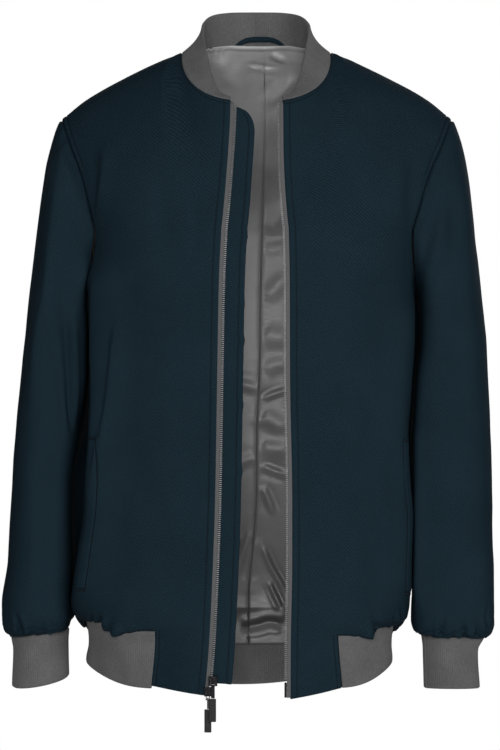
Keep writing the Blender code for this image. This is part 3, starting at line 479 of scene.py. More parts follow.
def band(T, V, drop=0.0010):
    """The hem band: T 0 at the right tab, 0.25 right side, 0.5 centre back, 1 at the left tab. V 0 at its foot."""
    T, V = np.broadcast_arrays(np.asarray(T, float), np.asarray(V, float))
    side = np.where(T < 0.5, -1, 1)
    face = np.where((T < 0.25) | (T > 0.75), -1, 1)
    t = np.where(T < 0.5, T, 1 - T)
    out = np.zeros(T.shape + (3,))
    n = BODY_SQUARE
    for s, name in ((-1, "right"), (1, "left")):
        for f in (-1, 1):
            here = (side == s) & (face == f)
            if not here.any():
                continue
            tt, v = t[here], V[here]
            if f < 0:
                q = 1 - tt / 0.25  # 1 at the tab, 0 at the side
                near = np.arcsin(((along(TAB, "z", name, -0.610) + SEAM_GAP * 1.5) / along(TORSO, "z", name, -0.610)) ** (n / 2))
                top = hem_seam(s, f, mix(1, near * 2 / math.pi, q))
            else:
                q = (tt - 0.25) / 0.25  # 1 at the centre back
                top = hem_seam(s, f, 1 - q)
            lift = np.cos(q * math.pi / 2) ** (2.2 if f < 0 else 1.6)
            foot = mix(-0.6625 if f < 0 else -0.6785, -0.6430, lift)
            z = mix(foot, top - drop, v)
            a = along(TORSO, "z", name, z)
            d = along(TORSO, "z", "front" if f < 0 else "back", z)
            if f < 0:
                edge = np.arcsin(((along(TAB, "z", name, z) + SEAM_GAP * 1.5) / a) ** (n / 2))
                psi = mix(math.pi / 2, edge, q)
            else:
                psi = mix(math.pi / 2, 0, q)
            x = along(TORSO, "z", "mid", z) + s * a * np.sin(psi) ** (2 / n)
            out[here] = np.stack([x, f * d * np.maximum(np.cos(psi), 0) ** (2 / n), z], axis=-1)
    return out


def band_normals(T, V):
    T, V = np.broadcast_arrays(np.asarray(T, float), np.asarray(V, float))
    return normals(band, T, V, (0, 1, 0, 1), -1)


def cuff(side, T, V):
    """A cuff's outer side: T round it from the outside through the front, V 0 at the sleeve seam."""
    T, V = np.broadcast_arrays(np.asarray(T, float), np.asarray(V, float))
    tab = CUFF_RIGHT if side < 0 else CUFF_LEFT
    mid, wide, deep = (along(tab, "t", n, V) for n in ("mid", "wide", "deep"))
    a = T * 2 * math.pi
    y0 = (ARM_RIGHT if side < 0 else ARM_LEFT)["mid"][0]
    (z0, tilt0), (z1, tilt1, front) = ARM_FOOT[side], CUFF_FOOT[side]
    z = mix(z0 - tilt0 * np.cos(a), z1 - tilt1 * np.cos(a) - front * np.sin(a), V)
    return np.stack([side * (mid + wide * np.cos(a)), y0 - deep * np.sin(a), z], axis=-1)


def cuff_normals(side, T, V):
    T, V = np.broadcast_arrays(np.asarray(T, float), np.asarray(V, float))
    e = 2e-3
    dt = cuff(side, T + e, V) - cuff(side, T - e, V)
    dv = cuff(side, T, np.minimum(V + e, 1)) - cuff(side, T, np.maximum(V - e, 0))
    return unit(np.cross(dt, dv)) * side


# ---------------------------------------------------------------- grids
HALF_GAP = SEAM_GAP / 2
SIDE_NAME = {-1: "right", 1: "left"}
WELT_U = {-1: (1.57, 1.73), 1: (1.68, 1.84)}
SLIDER_BAR = {"upper": (-0.0378, -0.1345, -0.6568), "lower": (-0.0430, -0.1302, -0.6722)}


def welt_w(z):
    """W of a height between the hem seam and the underarm, on the fronts."""
    return 1 + (z + 0.6055) / (UNDERARM_Z + 0.6055)


def steps(*parts):
    """Joined evenly spaced runs: (from, to, count) each."""
    out = []
    for a, b, n in parts:
        out += [a + (b - a) * i / n for i in range(n)]
    return np.array(out + [parts[-1][1]], float)


def spaced(form, rows, start, end, near_start, near_end, count):
    """Columns from U start to end, row by row: at set distances from both ends, even between them."""
    fine = np.linspace(start, end, 420)
    Q = form(*np.meshgrid(fine, rows))
    s = np.concatenate([np.zeros((len(Q), 1)), np.cumsum(np.linalg.norm(np.diff(Q, axis=1), axis=-1), axis=1)], axis=1)
    whole = s[:, -1:]
    a, b = np.array(near_start)[None] * MM, np.array(near_end[::-1])[None] * MM
    k = np.minimum(1, 0.7 * whole / (a.max() + b.max()))
    a, b = a * k, whole - b * k
    between = mix(a[:, -1:], b[:, :1], np.arange(1, count)[None] / count)
    d = np.concatenate([a, between, b], axis=1)
    out = np.stack([np.interp(d[i], s[i], fine) for i in range(len(d))])
    out[:, 0], out[:, -1] = start, end
    return out


STITCHED = [0, 0.6, 1.2, 2.0, 3.0, 4.2, 5.2, 5.8, 6.3, 6.8, 7.4, 8.2, 9.5, 11.5, 14]  # millimetres from a stitched edge
BY_TAB = [0, 0.7, 1.5, 2.6, 3.7, 4.3, 4.8, 5.3, 6.0, 7.5, 10]


def pull_in(P, gap, left=True, right=True, foot=True, top=True):
    """Draws a grid's borders back by gap along its own surface."""
    P = P.copy()
    if left:
        P[:, 0] += unit(P[:, 1] - P[:, 0]) * gap
    if right:
        P[:, -1] += unit(P[:, -2] - P[:, -1]) * gap
    if foot:
        P[0] += unit(P[1] - P[0]) * gap
    if top:
        P[-1] += unit(P[-2] - P[-1]) * gap
    return P


def arm_hole_normals(side, face, W, own):
    t = np.where(W >= 3, (4 - W) * 0.3, 0.3 + (3 - W) * 0.2)
    T = t if face < 0 else 1 - t
    return seam_blend(own, sleeve_normals(side, T, np.zeros_like(T)))


def neck_normals(side, face, U, own):
    T = side * (0.46 * U if face > 0 else 0.46 + 0.54 * (1 - U))
    return seam_blend(own, collar_normals(T, np.zeros_like(T)))


def edge_strip(side, W, near, far, sunk, count=1):
    """Points beside the zip edge: near and far are distances past it, towards the middle."""
    E = torso(side, -1, np.zeros_like(W), W)
    N = torso_normals(side, -1, np.zeros_like(W), W)
    out = unit(E - torso(side, -1, np.full_like(W, 0.03), W))
    cols = []
    for k in range(count + 1):
        dist = mix(np.broadcast_to(near, W.shape), np.broadcast_to(far, W.shape), k / count)
        cols.append(E + out * np.reshape(dist, (-1, 1)) - N * sunk)
    return np.stack(cols, axis=1), np.repeat(N[:, None], count + 1, axis=1)


def runs(P, round_=False):
    """Arc lengths along the rows and up the columns of a grid, from its first column and row."""
    Q = np.concatenate([P, P[:, :1]], axis=1) if round_ else P
    s = np.concatenate([np.zeros((len(Q), 1)), np.cumsum(np.linalg.norm(np.diff(Q, axis=1), axis=-1), axis=1)], axis=1)
    r = np.concatenate([np.zeros((1, P.shape[1])), np.cumsum(np.linalg.norm(np.diff(P, axis=0), axis=-1), axis=0)], axis=0)
    return s, r


def flatten(P, N, up, tries=260):
    """Lays a grid of cloth flat: u to the viewer's right seen from outside, v along up, in metres.

    Least squares over the grid's edges, so the weave keeps its size and runs straight.
    """
    ev = unit(up - N * np.sum(up * N, axis=-1, keepdims=True))
    eu = np.cross(ev, N)
    dh, dv = np.diff(P, axis=1), np.diff(P, axis=0)
    wh, wv = 1 / np.maximum((dh**2).sum(-1), 1e-8), 1 / np.maximum((dv**2).sum(-1), 1e-8)
    out = []
    for e in (eu, ev):
        gh = ((e[:, 1:] + e[:, :-1]) / 2 * dh).sum(-1)
        gv = ((e[1:] + e[:-1]) / 2 * dv).sum(-1)

        def spread(a, b):
            r = np.zeros(P.shape[:2])
            r[:, 1:] += wh * a
            r[:, :-1] -= wh * a
            r[1:] += wv * b
            r[:-1] -= wv * b
            return r

        x = np.concatenate([np.zeros((len(P), 1)), np.cumsum(gh, axis=1)], axis=1)
        x += np.concatenate([[0], np.cumsum(gv.mean(axis=1))])[:, None]
        scale = np.zeros(P.shape[:2])
        scale[:, 1:] += wh
        scale[:, :-1] += wh
        scale[1:] += wv
        scale[:-1] += wv
        res = spread(gh, gv) - spread(np.diff(x, axis=1), np.diff(x, axis=0))
        z = res / scale
        p = z.copy()
        rz = (res * z).sum()
        for _ in range(tries):
            ap = spread(np.diff(p, axis=1), np.diff(p, axis=0))
            k = rz / max((p * ap).sum(), 1e-30)
            x += k * p
            res -= k * ap
            z = res / scale
            new = (res * z).sum()
            p = z + new / max(rz, 1e-30) * p
            rz = new
        out.append(x - x[0, 0])
    return np.stack(out, axis=-1)


def smooth_noise(P, size, seed):
    """A soft random field between -1 and 1 at each point; size is its grain in metres."""
    rng = np.random.default_rng(seed)
    values = rng.uniform(-1, 1, 8192)
    q = np.asarray(P, float) / size + 811.0
    i = np.floor(q).astype(np.int64)
    f = ease(q - i)

    def at(dx, dy, dz):
        return values[((i[..., 0] + dx) * 73856093 ^ (i[..., 1] + dy) * 19349663 ^ (i[..., 2] + dz) * 83492791) & 8191]

    x, y, z = f[..., 0], f[..., 1], f[..., 2]
    low = mix(mix(at(0, 0, 0), at(1, 0, 0), x), mix(at(0, 1, 0), at(1, 1, 0), x), y)
    high = mix(mix(at(0, 0, 1), at(1, 0, 1), x), mix(at(0, 1, 1), at(1, 1, 1), x), y)
    return mix(low, high, z)


def line_noise(s, size, seed):
    """The same along one line."""
    s = np.asarray(s, float)
    return smooth_noise(np.stack([s, 0 * s, 0 * s], axis=-1), size, seed)


# ---------------------------------------------------------------- creases
def crease_field(P, N, rows, view=-1):
    """How far the cloth stands off its form, from a table of creases in millimetres.

    Each row: height (minus for a trough), half width, how many times wider it is on the side
    towards +X, lip (the height of the bank beside it, as a share), fade in, fade out (shares of
    its length), then the points (x, z) it runs through as the front (view -1) or back (+1) shows it.
    """
    out = np.zeros(P.shape[:-1])
    flat = P.reshape(-1, 3)
    normal = N.reshape(-1, 3)
    seen = np.nonzero(normal[:, 1] * view > -0.05)[0]
    for height, width, skew, lip, fade_in, fade_out, *path in rows:
        path = np.array(path, float) * MM
        gone = np.concatenate([[0], np.cumsum(np.linalg.norm(np.diff(path, axis=0), axis=1))])
        tab = {"t": gone, "x": path[:, 0], "z": path[:, 1]}
        t = np.linspace(0, gone[-1], max(int(gone[-1] / 0.002), 8))
        xz = np.stack([along(tab, "t", "x", t), along(tab, "t", "z", t)], axis=1)
        d = np.hypot(flat[seen, 0][None] - xz[:, :1], flat[seen, 2][None] - xz[:, 1:])
        near = np.argsort(d, axis=1)[:, :4]
        wts = 1 / (np.take_along_axis(d, near, axis=1) + 2e-4)
        y = (flat[seen, 1][near] * wts).sum(1) / wts.sum(1)
        S = np.stack([xz[:, 0], y, xz[:, 1]], axis=1)
        k = np.ones(5) / 5
        if len(S) > 8:
            S[:, 1] = np.convolve(np.pad(S[:, 1], 2, mode="edge"), k, mode="valid")
        tangent = unit(np.gradient(S, axis=0))
        lo, hi = S.min(0) - 5 * width * MM * max(skew, 1), S.max(0) + 5 * width * MM * max(skew, 1)
        close = np.nonzero(np.all((flat > lo) & (flat < hi), axis=1))[0]
        if not len(close):
            continue
        D = np.linalg.norm(flat[close][:, None] - S[None], axis=2)
        m = D.argmin(1)
        dist = D[np.arange(len(close)), m]
        rel = flat[close] - S[m]
        across = np.cross(tangent[m], normal[close])
        across *= np.where(across[:, :1] < 0, -1, 1)
        sign = np.where((rel * across).sum(1) > 0, 1.0, -1.0)
        w = width * MM * np.where(sign > 0, skew, 1.0)
        tt = t[m] / gone[-1]
        env = ease(tt / max(fade_in, 1e-3)) * ease((1 - tt) / max(fade_out, 1e-3))
        f = np.exp(-((dist / w) ** 2))
        if lip:
            off = 1.9 * w
            f = f - lip * np.exp(-(((dist - off) / w) ** 2))
        out.reshape(-1)[close] += height * MM * env * f
    return out


def seam_relief(d, dip=0.0009, reach=0.0012, plateau=0.0, stitch=None, groove=0.0007):
    """Relief beside a seam at distance d: a dip, then the padded allowance up to the topstitch."""
    f = -dip * np.exp(-((d / reach) ** 2))
    if plateau:
        f = f + plateau * ease(d / 0.0015) * (1 - ease((d - stitch) / 0.0016))
    if stitch:
        f = f - groove * np.exp(-(((d - stitch) / 0.0007) ** 2))
    return f


def gathers(s, d, seed, pitch, depth, reach, tilt=0.25):
    """Folds that a tighter band pinches into the cloth: s along the seam, d away from it."""
    q = s + tilt * d * np.sign(line_noise(s, 0.05, seed + 5))
    n = line_noise(q + 0.15 * pitch * line_noise(d, 0.02, seed + 3), pitch, seed)
    sharp = 1 - 2 * np.sqrt(n * n + 0.004)
    deep = depth * (0.45 + 0.55 * ease(0.5 + 0.9 * line_noise(s, pitch * 3.1, seed + 1)))
    return sharp * deep * np.exp(-((d / reach) ** 1.3))


# How far the body's sides and the sleeves' inner sides swing forward between the armpits and
# the gathers at the foot, so that the cloth next to the gap between them lies nearly flat.
SIDE_SWING = {-1: (0.028, 0.055), 1: (0.024, 0.045)}  # how far, and over what width
SLEEVE_SWING = {-1: (0.0220, -0.212, -0.250, -0.355, -0.400), 1: (0.0220, -0.245, -0.290, -0.555, -0.600)}
CLOSER = 0.0013  # how far the left side of the body leans to the sleeve above the foot
# How far each sleeve's inner side leans to the body (+) or away from it (-): height, then distance.
SLEEVE_LEAN = {
    -1: [(-0.600, 0.0), (-0.575, 0.0005), (-0.534, 0.0015), (-0.471, 0.0012), (-0.430, -0.0005), (-0.405, -0.0045), (-0.388, -0.0045), (-0.366, 0.0), (-0.346, 0.0028), (-0.315, 0.0030), (-0.263, 0.0045), (-0.237, 0.0030), (-0.211, -0.0020), (-0.195, 0.0)],
    1: [(-0.600, 0.0), (-0.573, 0.0), (-0.556, 0.0013), (-0.480, 0.0013), (-0.420, 0.0010), (-0.367, 0.0015), (-0.315, 0.0027), (-0.285, 0.0040), (-0.263, 0.0042), (-0.237, 0.0012), (-0.211, 0.0)],
}
BODY_TURN, SLEEVE_TURN = 0.66, 0.52  # below 1, the front turns later and tighter into the side
# How far the blousing pushes the shell's foot up or down beside the tabs: x, then the rise.
HEM_RISE = {
    -1: [(-0.1800, 0.0085), (-0.1560, 0.0080), (-0.1525, 0.0066), (-0.1502, 0.0004), (-0.1470, -0.0030), (-0.1400, -0.0052), (-0.1300, -0.0034), (-0.1187, -0.0010), (-0.1075, 0.0)],
    1: [(0.0975, 0.0), (0.1100, -0.0010), (0.1220, -0.0040), (0.1268, -0.0036), (0.1298, 0.0030), (0.1325, 0.0066), (0.1450, 0.0076), (0.1800, 0.0080)],
}


def body_swing(P, W):
    """Forward shift of the body's cloth near its side seams."""
    out = np.zeros(P.shape)
    front = ease((0.030 - P[..., 1]) / 0.05)
    for side in (-1, 1):
        start = SLEEVE_SWING[side][1] + 0.004  # no higher than the sleeve's own, so the armhole stays shut
        fade = ease((start - P[..., 2]) / 0.045) * ease((P[..., 2] + 0.604) / 0.055)
        edge = np.abs(torso(side, -1, 2.0, W)[..., 0])
        far, width = SIDE_SWING[side]
        gap = edge - side * P[..., 0]
        swing = far * np.clip(1 - gap / width, 0, 1) ** 2.3 * front
        ahead = np.clip((swing - P[..., 1]) / 0.115, 0, 1)
        swing += 0.115 * (ahead**BODY_TURN - ahead) * ease(1 - gap / 0.07)
        out[..., 1] -= swing * fade
        if side > 0:
            out[..., 0] += CLOSER * np.clip(1 - (edge - P[..., 0]) / 0.02, 0, 1) * ease((-0.46 - P[..., 2]) / 0.03) * ease((P[..., 2] + 0.575) / 0.015)
    return out


def sleeve_swing(P, side):
    """Forward shift of a sleeve's cloth next to the body."""
    far, a, b, c, d = SLEEVE_SWING[side]
    gap = side * P[..., 0] - (side * P[..., 0]).min(axis=1, keepdims=True)
    front = ease((0.030 - P[..., 1]) / 0.05)
    swing = far * np.clip(1 - gap / 0.021, 0, 1) ** 2.3 * front * ease((a - P[..., 2]) / (a - b)) * ease((P[..., 2] - d) / (c - d))
    foremost = np.maximum(0.03, -P[..., 1].min(axis=1, keepdims=True))
    ahead = np.clip((swing - P[..., 1]) / foremost, 0, 1)
    swing += foremost * (ahead**SLEEVE_TURN - ahead) * ease(1 - gap / 0.045) * ease((a - P[..., 2]) / (a - b)) * ease((P[..., 2] - d) / (c - d))
    height, lean = np.array(SLEEVE_LEAN[side]).T
    out = np.zeros(P.shape)
    out[..., 1] -= swing
    out[..., 0] -= side * np.interp(P[..., 2], height, lean) * np.clip(1 - gap / 0.03, 0, 1) * front
    return out


# ---------------------------------------------------------------- meshes
def link(ob):
    bpy.context.scene.collection.objects.link(ob)
    return ob


def mesh_from(name, verts, faces, mats, uv=None, index=None, smooth=True):
    me = bpy.data.meshes.new(name)
    me.from_pydata(np.asarray(verts).tolist(), [], [tuple(f) for f in faces])
    if uv is not None:
        layer = me.uv_layers.new(name="cloth")
        layer.data.foreach_set("uv", np.asarray(uv, np.float32).ravel())
    for m in mats:
        me.materials.append(m)
    if index is not None:
        me.polygons.foreach_set("material_index", np.asarray(index, np.int32))
    me.polygons.foreach_set("use_smooth", np.full(len(me.polygons), smooth))
    me.update()
    return link(bpy.data.objects.new(name, me))


def cloth(name, P, N, thick, mats, uv, skip=None, round_=False, rim=0.42, dark=None):
    """A fine closed wall with rounded rims. mats is (outer, inner); uv is in metres on the cloth.
    dark, 0 to 1 on the grid, is how deep a point lies in a stitched groove; the material paints shade there by it."""
    rows, cols = P.shape[:2]
    T = np.broadcast_to(np.asarray(thick, float), (rows, cols))[..., None]
    Q = P - N * T
    base = rows * cols
    cells = np.ones((rows - 1, cols if round_ else cols - 1), bool)
    if skip is not None:
        cells &= ~skip
    i, j = np.nonzero(cells)
    jn = (j + 1) % cols
    quads = np.stack([i * cols + j, i * cols + jn, (i + 1) * cols + jn, (i + 1) * cols + j], axis=1)
    corners = np.stack([uv[i, j], uv[i, j + 1], uv[i + 1, j + 1], uv[i + 1, j]], axis=1)
    flat, fn = P.reshape(-1, 3), N.reshape(-1, 3)
    face_n = np.cross(flat[quads[:, 2]] - flat[quads[:, 0]], flat[quads[:, 3]] - flat[quads[:, 1]])
    if (face_n * fn[quads[:, 0]]).sum() < 0:
        quads, corners = quads[:, ::-1], corners[:, ::-1]
    inner = quads[:, ::-1] + base
    a = quads.ravel()
    b = np.roll(quads, -1, axis=1).ravel()
    cuv = corners.reshape(-1, 2)
    big = base + 1
    edge = ~np.isin(a * big + b, b * big + a)
    ea, eb = a[edge], b[edge]
    ua = cuv[edge]
    ub = np.roll(corners, -1, axis=1).reshape(-1, 2)[edge]
    rim_id = np.full(base, -1)
    on = np.unique(np.concatenate([ea, eb]))
    rim_id[on] = 2 * base + np.arange(len(on))
    out = np.zeros((base, 3))
    push = np.cross(unit(flat[eb] - flat[ea]), fn[ea])
    np.add.at(out, ea, push)
    np.add.at(out, eb, push)
    out = unit(out)
    rim_pts = (flat[on] + Q.reshape(-1, 3)[on]) / 2 + out[on] * T.reshape(-1, 1)[on] * rim
    r1 = np.stack([eb, ea, rim_id[ea], rim_id[eb]], axis=1)
    r2 = np.stack([rim_id[eb], rim_id[ea], base + ea, base + eb], axis=1)
    ruv = np.stack([ub, ua, ua, ub], axis=1)
    faces = np.concatenate([quads, inner, r1, r2])
    fuv = np.concatenate([corners, corners[:, ::-1], ruv, ruv])
    index = np.concatenate([np.zeros(len(quads)), np.ones(len(inner)), np.zeros(2 * len(r1))])
    verts = np.concatenate([flat, Q.reshape(-1, 3), rim_pts])
    used = np.unique(faces)
    renum = np.full(len(verts), -1)
    renum[used] = np.arange(len(used))
    ob = mesh_from(name, verts[used], renum[faces].tolist(), mats, fuv.reshape(-1, 2), index)
    # the groove attribute carries painted shade: the twill darkens the cloth where it is high
    if dark is not None:
        depth = np.zeros(len(verts))
        depth[:base] = np.clip(dark, 0, 1).ravel()
        ob.data.attributes.new("groove", "FLOAT", "POINT").data.foreach_set("value", depth[used].astype(np.float32))
    return ob


def groove(dist, at, half=0.0006):
    """1 along a line of stitches at a distance from an edge, 0 away from it."""
    return np.exp(-(((dist - at) / half) ** 2))


def joined_copies(name, verts, faces, places, mats, smooth=True):
    """One mesh of many copies of a small form: places is (count, 4, 3): origin and three axes."""
    verts = np.asarray(verts, float)
    k = len(verts)
    O = places[:, None, 0]
    V = O + verts[None, :, :1] * places[:, None, 1] + verts[None, :, 1:2] * places[:, None, 2] + verts[None, :, 2:] * places[:, None, 3]
    F = []
    for n in range(len(places)):
        F += [tuple(v + n * k for v in f) for f in faces]
    return mesh_from(name, V.reshape(-1, 3), F, mats, smooth=smooth)


STITCH_V = [(-0.5, 0, 0.0)] + [
    (x, y, z) for x in (-0.3, 0.3) for y, z in ((-0.5, 0.1), (0, 0.55), (0.5, 0.1), (0, -0.4))
] + [(0.5, 0, 0.0)]
STITCH_F = (
    [(0, 1 + (i + 1) % 4, 1 + i) for i in range(4)]
    + [(1 + i, 1 + (i + 1) % 4, 5 + (i + 1) % 4, 5 + i) for i in range(4)]
    + [(5 + i, 5 + (i + 1) % 4, 9) for i in range(4)]
)


def stitch_places(line, normal, pitch=0.0031, length=0.0023, width=0.00055, rise=0.00012):
    """Where a row of stitches goes along a line that lies on the cloth."""
    gone = np.concatenate([[0], np.cumsum(np.linalg.norm(np.diff(line, axis=0), axis=1))])
    if gone[-1] < pitch * 2:
        return np.zeros((0, 4, 3))
    c = np.arange(pitch / 2, gone[-1] - pitch / 3, pitch)
    at = lambda s: np.stack([np.interp(s, gone, line[:, k]) for k in range(3)], axis=1)
    mid = at(c)
    x = unit(at(c + length / 2) - at(c - length / 2))
    n = unit(np.stack([np.interp(c, gone, normal[:, k]) for k in range(3)], axis=1))
    y = unit(np.cross(n, x))
    n = np.cross(x, y)
    return np.stack([mid + n * rise, x * length, y * width, n * width], axis=1)


def offset_line(P, N, from_edge, dist, span=None):
    """The line on a grid that runs at dist from one of its borders: left, right, foot or top."""
    if from_edge in ("foot", "top"):
        P, N = P.transpose(1, 0, 2), N.transpose(1, 0, 2)
    if from_edge in ("right", "top"):
        P, N = P[:, ::-1], N[:, ::-1]
    if span is not None:
        P, N = P[span[0]:span[1]], N[span[0]:span[1]]
    s = runs(P)[0]
    line, normal = [], []
    for i in range(len(P)):
        line.append([np.interp(dist, s[i], P[i, :, k]) for k in range(3)])
        normal.append([np.interp(dist, s[i], N[i, :, k]) for k in range(3)])
    return np.array(line), np.array(normal)


# ---------------------------------------------------------------- materials
class Nodes:
    """A short way to write a node tree."""

    def __init__(self, name):
        self.mat = bpy.data.materials.new(name)
        self.mat.use_nodes = True
        self.tree = self.mat.node_tree
        self.bsdf = self.tree.nodes["Principled BSDF"]

    def node(self, kind, inputs=None, **props):
        n = self.tree.nodes.new(kind)
        for k, v in props.items():
            setattr(n, k, v)
        for k, v in (inputs or {}).items():
            self.put(n.inputs[k], v)
        return n

    def put(self, socket, v):
        if isinstance(v, bpy.types.NodeSocket):
            self.tree.links.new(v, socket)
        elif isinstance(v, bpy.types.Node):
            self.tree.links.new(v.outputs[0], socket)
        else:
            socket.default_value = v

    def math(self, op, a, b=0.0, c=None):
        n = self.node("ShaderNodeMath", {0: a, 1: b}, operation=op)
        if c is not None:
            self.put(n.inputs[2], c)
        return n.outputs[0]

    def uv(self):
        return self.node("ShaderNodeUVMap", uv_map="cloth").outputs[0]

    def split(self, v):
        n = self.node("ShaderNodeSeparateXYZ", {0: v})
        return n.outputs[0], n.outputs[1], n.outputs[2]

    def noise(self, vector, scale, detail=2.0, rough=0.5, distortion=0.0):
        return self.node(
            "ShaderNodeTexNoise", {"Vector": vector, "Scale": scale, "Detail": detail, "Roughness": rough, "Distortion": distortion}
        ).outputs["Fac"]

    def ramp(self, fac, *stops):
        n = self.node("ShaderNodeValToRGB", {"Fac": fac})
        el = n.color_ramp.elements
        while len(el) < len(stops):
            el.new(0.5)
        for e, (pos, col) in zip(el, stops):
            e.position = pos
            e.color = (*col, 1) if len(col) == 3 else col
        return n.outputs["Color"]

    def blend(self, fac, a, b, kind="MIX"):
        n = self.node("ShaderNodeMix", data_type="RGBA", blend_type=kind)
        self.put(n.inputs["Factor"], fac)
        self.put(n.inputs[6], a)
        self.put(n.inputs[7], b)
        return n.outputs[2]

    def remap(self, v, a, b, c, d):
        n = self.node("ShaderNodeMapRange", {"Value": v, "From Min": a, "From Max": b, "To Min": c, "To Max": d})
        return n.outputs[0]

    def bump(self, height, strength, distance, normal=None):
        n = self.node("ShaderNodeBump", {"Height": height, "Strength": strength, "Distance": distance})
        if normal is not None:
            self.put(n.inputs["Normal"], normal)
        return n.outputs[0]

    def set(self, **kw):
        for k, v in kw.items():
            self.put(self.bsdf.inputs[k.replace("_", " ")], v)
        return self.mat


def rgb(r, g, b):
    """sRGB 0-255 to linear."""
    f = lambda c: (c / 255 / 12.92) if c / 255 <= 0.04045 else ((c / 255 + 0.055) / 1.055) ** 2.4
    return (f(r), f(g), f(b))


def twill(name, low, high, tint, crisp=1.0):
    """Steep twill: raised diagonal wales, fine cross yarns, mottled and faintly hazy."""
    n = Nodes(name)
    uv = n.uv()
    u, v, _ = n.split(uv)
    place = n.node("ShaderNodeTexCoord").outputs["Object"]
    wobble = n.math("ADD", n.noise(uv, 160, 1), n.math("MULTIPLY", n.noise(uv, 520, 1), 0.5))
    phase = n.math("ADD", n.math("MULTIPLY", u, 2 * math.pi / 0.00345), n.math("MULTIPLY", v, 2 * math.pi / 0.00378))
    phase = n.math("ADD", phase, n.math("MULTIPLY", wobble, 2.2))
    wale = n.math("MULTIPLY_ADD", n.math("SINE", phase), 0.5, 0.5)
    # yarns crossing the wales, about two to a wale
    cross = n.math("ADD", n.math("MULTIPLY", u, 2 * math.pi / 0.0012), n.math("MULTIPLY", v, -2 * math.pi / 0.0021))
    yarn = n.math("MULTIPLY_ADD", n.math("SINE", cross), 0.5, 0.5)
    speck = n.noise(uv, 700, 2, 0.75)
    patch = n.noise(place, 14, 3, 0.55)
    height = n.math("MULTIPLY_ADD", wale, 0.75, n.math("MULTIPLY", yarn, 0.25))
    shade = n.math("ADD", n.math("MULTIPLY_ADD", height, 0.46 * crisp, 0.23 * (1 - crisp)), n.math("MULTIPLY_ADD", speck, 1.0, -0.14))
    shade = n.math("ADD", shade, n.math("MULTIPLY_ADD", patch, 0.35, -0.30))
    col = n.ramp(shade, (0.08, low), (0.92, high))
    flecks = n.ramp(n.noise(uv, 900, 1, 0.5), (0.58, (0, 0, 0)), (0.72, (1, 1, 1)))
    col = n.blend(n.math("MULTIPLY", flecks, 0.40), col, (*tint, 1))
    dark = n.ramp(n.noise(uv, 780, 1, 0.5), (0.30, (1, 1, 1)), (0.42, (0, 0, 0)))
    col = n.blend(n.math("MULTIPLY", dark, 0.35), col, (*low, 1))
    # painted shade: cloth in stitched grooves is darkened towards a third of its darkest colour
    sunk = n.node("ShaderNodeAttribute", attribute_name="groove").outputs["Fac"]
    col = n.blend(n.math("MULTIPLY", sunk, 0.85), col, tuple(c * 0.30 for c in low) + (1,))
    rough = n.remap(height, 0, 1, 0.92, 0.74)
    nor = n.bump(height, 0.55 * crisp, 0.00028, n.bump(speck, 0.25, 0.00018))
    n.set(Base_Color=col, Roughness=rough, Normal=nor)
    b = n.bsdf.inputs
    b["Specular IOR Level"].default_value = 0.02
    b["Sheen Weight"].default_value = 0.0
    return n.mat


def knit(name, low, high):
    """Soft wool rib: the ribs are geometry, the loops and fuzz are here."""
    n = Nodes(name)
    uv = n.uv()
    u, v, _ = n.split(uv)
    place = n.node("ShaderNodeTexCoord").outputs["Object"]
    loops = n.math("MULTIPLY", n.math("SINE", n.math("MULTIPLY", v, 2 * math.pi / 0.0011)), n.math("SINE", n.math("MULTIPLY", u, 2 * math.pi / 0.0020)))
    loops = n.math("MULTIPLY_ADD", loops, 0.5, 0.5)
    fuzz = n.noise(place, 760, 3, 0.75)
    patch = n.noise(place, 30, 3, 0.6)
    shade = n.math("ADD", n.math("MULTIPLY", loops, 0.16), n.math("MULTIPLY_ADD", fuzz, 0.95, -0.16))
    shade = n.math("ADD", shade, n.math("MULTIPLY_ADD", patch, 0.5, -0.2))
    col = n.ramp(shade, (0.15, low), (0.9, high))
    nor = n.bump(loops, 0.35, 0.0003, n.bump(fuzz, 0.5, 0.0003))
    n.set(Base_Color=col, Roughness=n.remap(fuzz, 0.2, 0.8, 0.98, 0.86), Normal=nor)
    n.bsdf.inputs["Specular IOR Level"].default_value = 0.15
    n.bsdf.inputs["Sheen Weight"].default_value = 0.06
    n.bsdf.inputs["Sheen Roughness"].default_value = 0.6
    return n.mat


def satin(name, low, high):
    """Smooth grey lining with a soft shine, its fine weave only in the bump."""
    n = Nodes(name)
    uv = n.uv()
    u, v, _ = n.split(uv)
    place = n.node("ShaderNodeTexCoord").outputs["Object"]
    threads = n.math("SINE", n.math("MULTIPLY", v, 2 * math.pi / 0.0007))
    weave = n.math("MULTIPLY_ADD", n.math("MULTIPLY", threads, n.math("SINE", n.math("MULTIPLY", u, 2 * math.pi / 0.0009))), 0.5, 0.5)
    cloudy = n.noise(place, 22, 3, 0.55)
    slub = n.noise(n.node("ShaderNodeMapping", {"Vector": uv, "Scale": (90, 900, 1)}).outputs[0], 1.0, 2)
    shade = n.math("ADD", n.math("MULTIPLY", cloudy, 0.6), n.math("MULTIPLY", slub, 0.4))
    col = n.ramp(shade, (0.25, low), (0.8, high))
    nor = n.bump(weave, 0.15, 0.0001, n.bump(slub, 0.12, 0.0002))
    # painted shade: the colour is darker towards the bottom, where less light reaches inside the jacket
    painted_shade_low = n.ramp(n.remap(n.split(place)[2], -0.64, 0.0, 0, 1), (0.0, (0.17, 0.17, 0.17)), (0.24, (0.42, 0.42, 0.42)), (0.62, (0.68, 0.68, 0.68)), (1.0, (1, 1, 1)))
    col = n.blend(1.0, col, painted_shade_low, "MULTIPLY")
    n.set(Base_Color=col, Roughness=n.remap(slub, 0.3, 0.7, 0.38, 0.48), Normal=nor)
    b = n.bsdf.inputs
    b["Specular IOR Level"].default_value = 0.7
    b["Anisotropic"].default_value = 0.35
    return n.mat


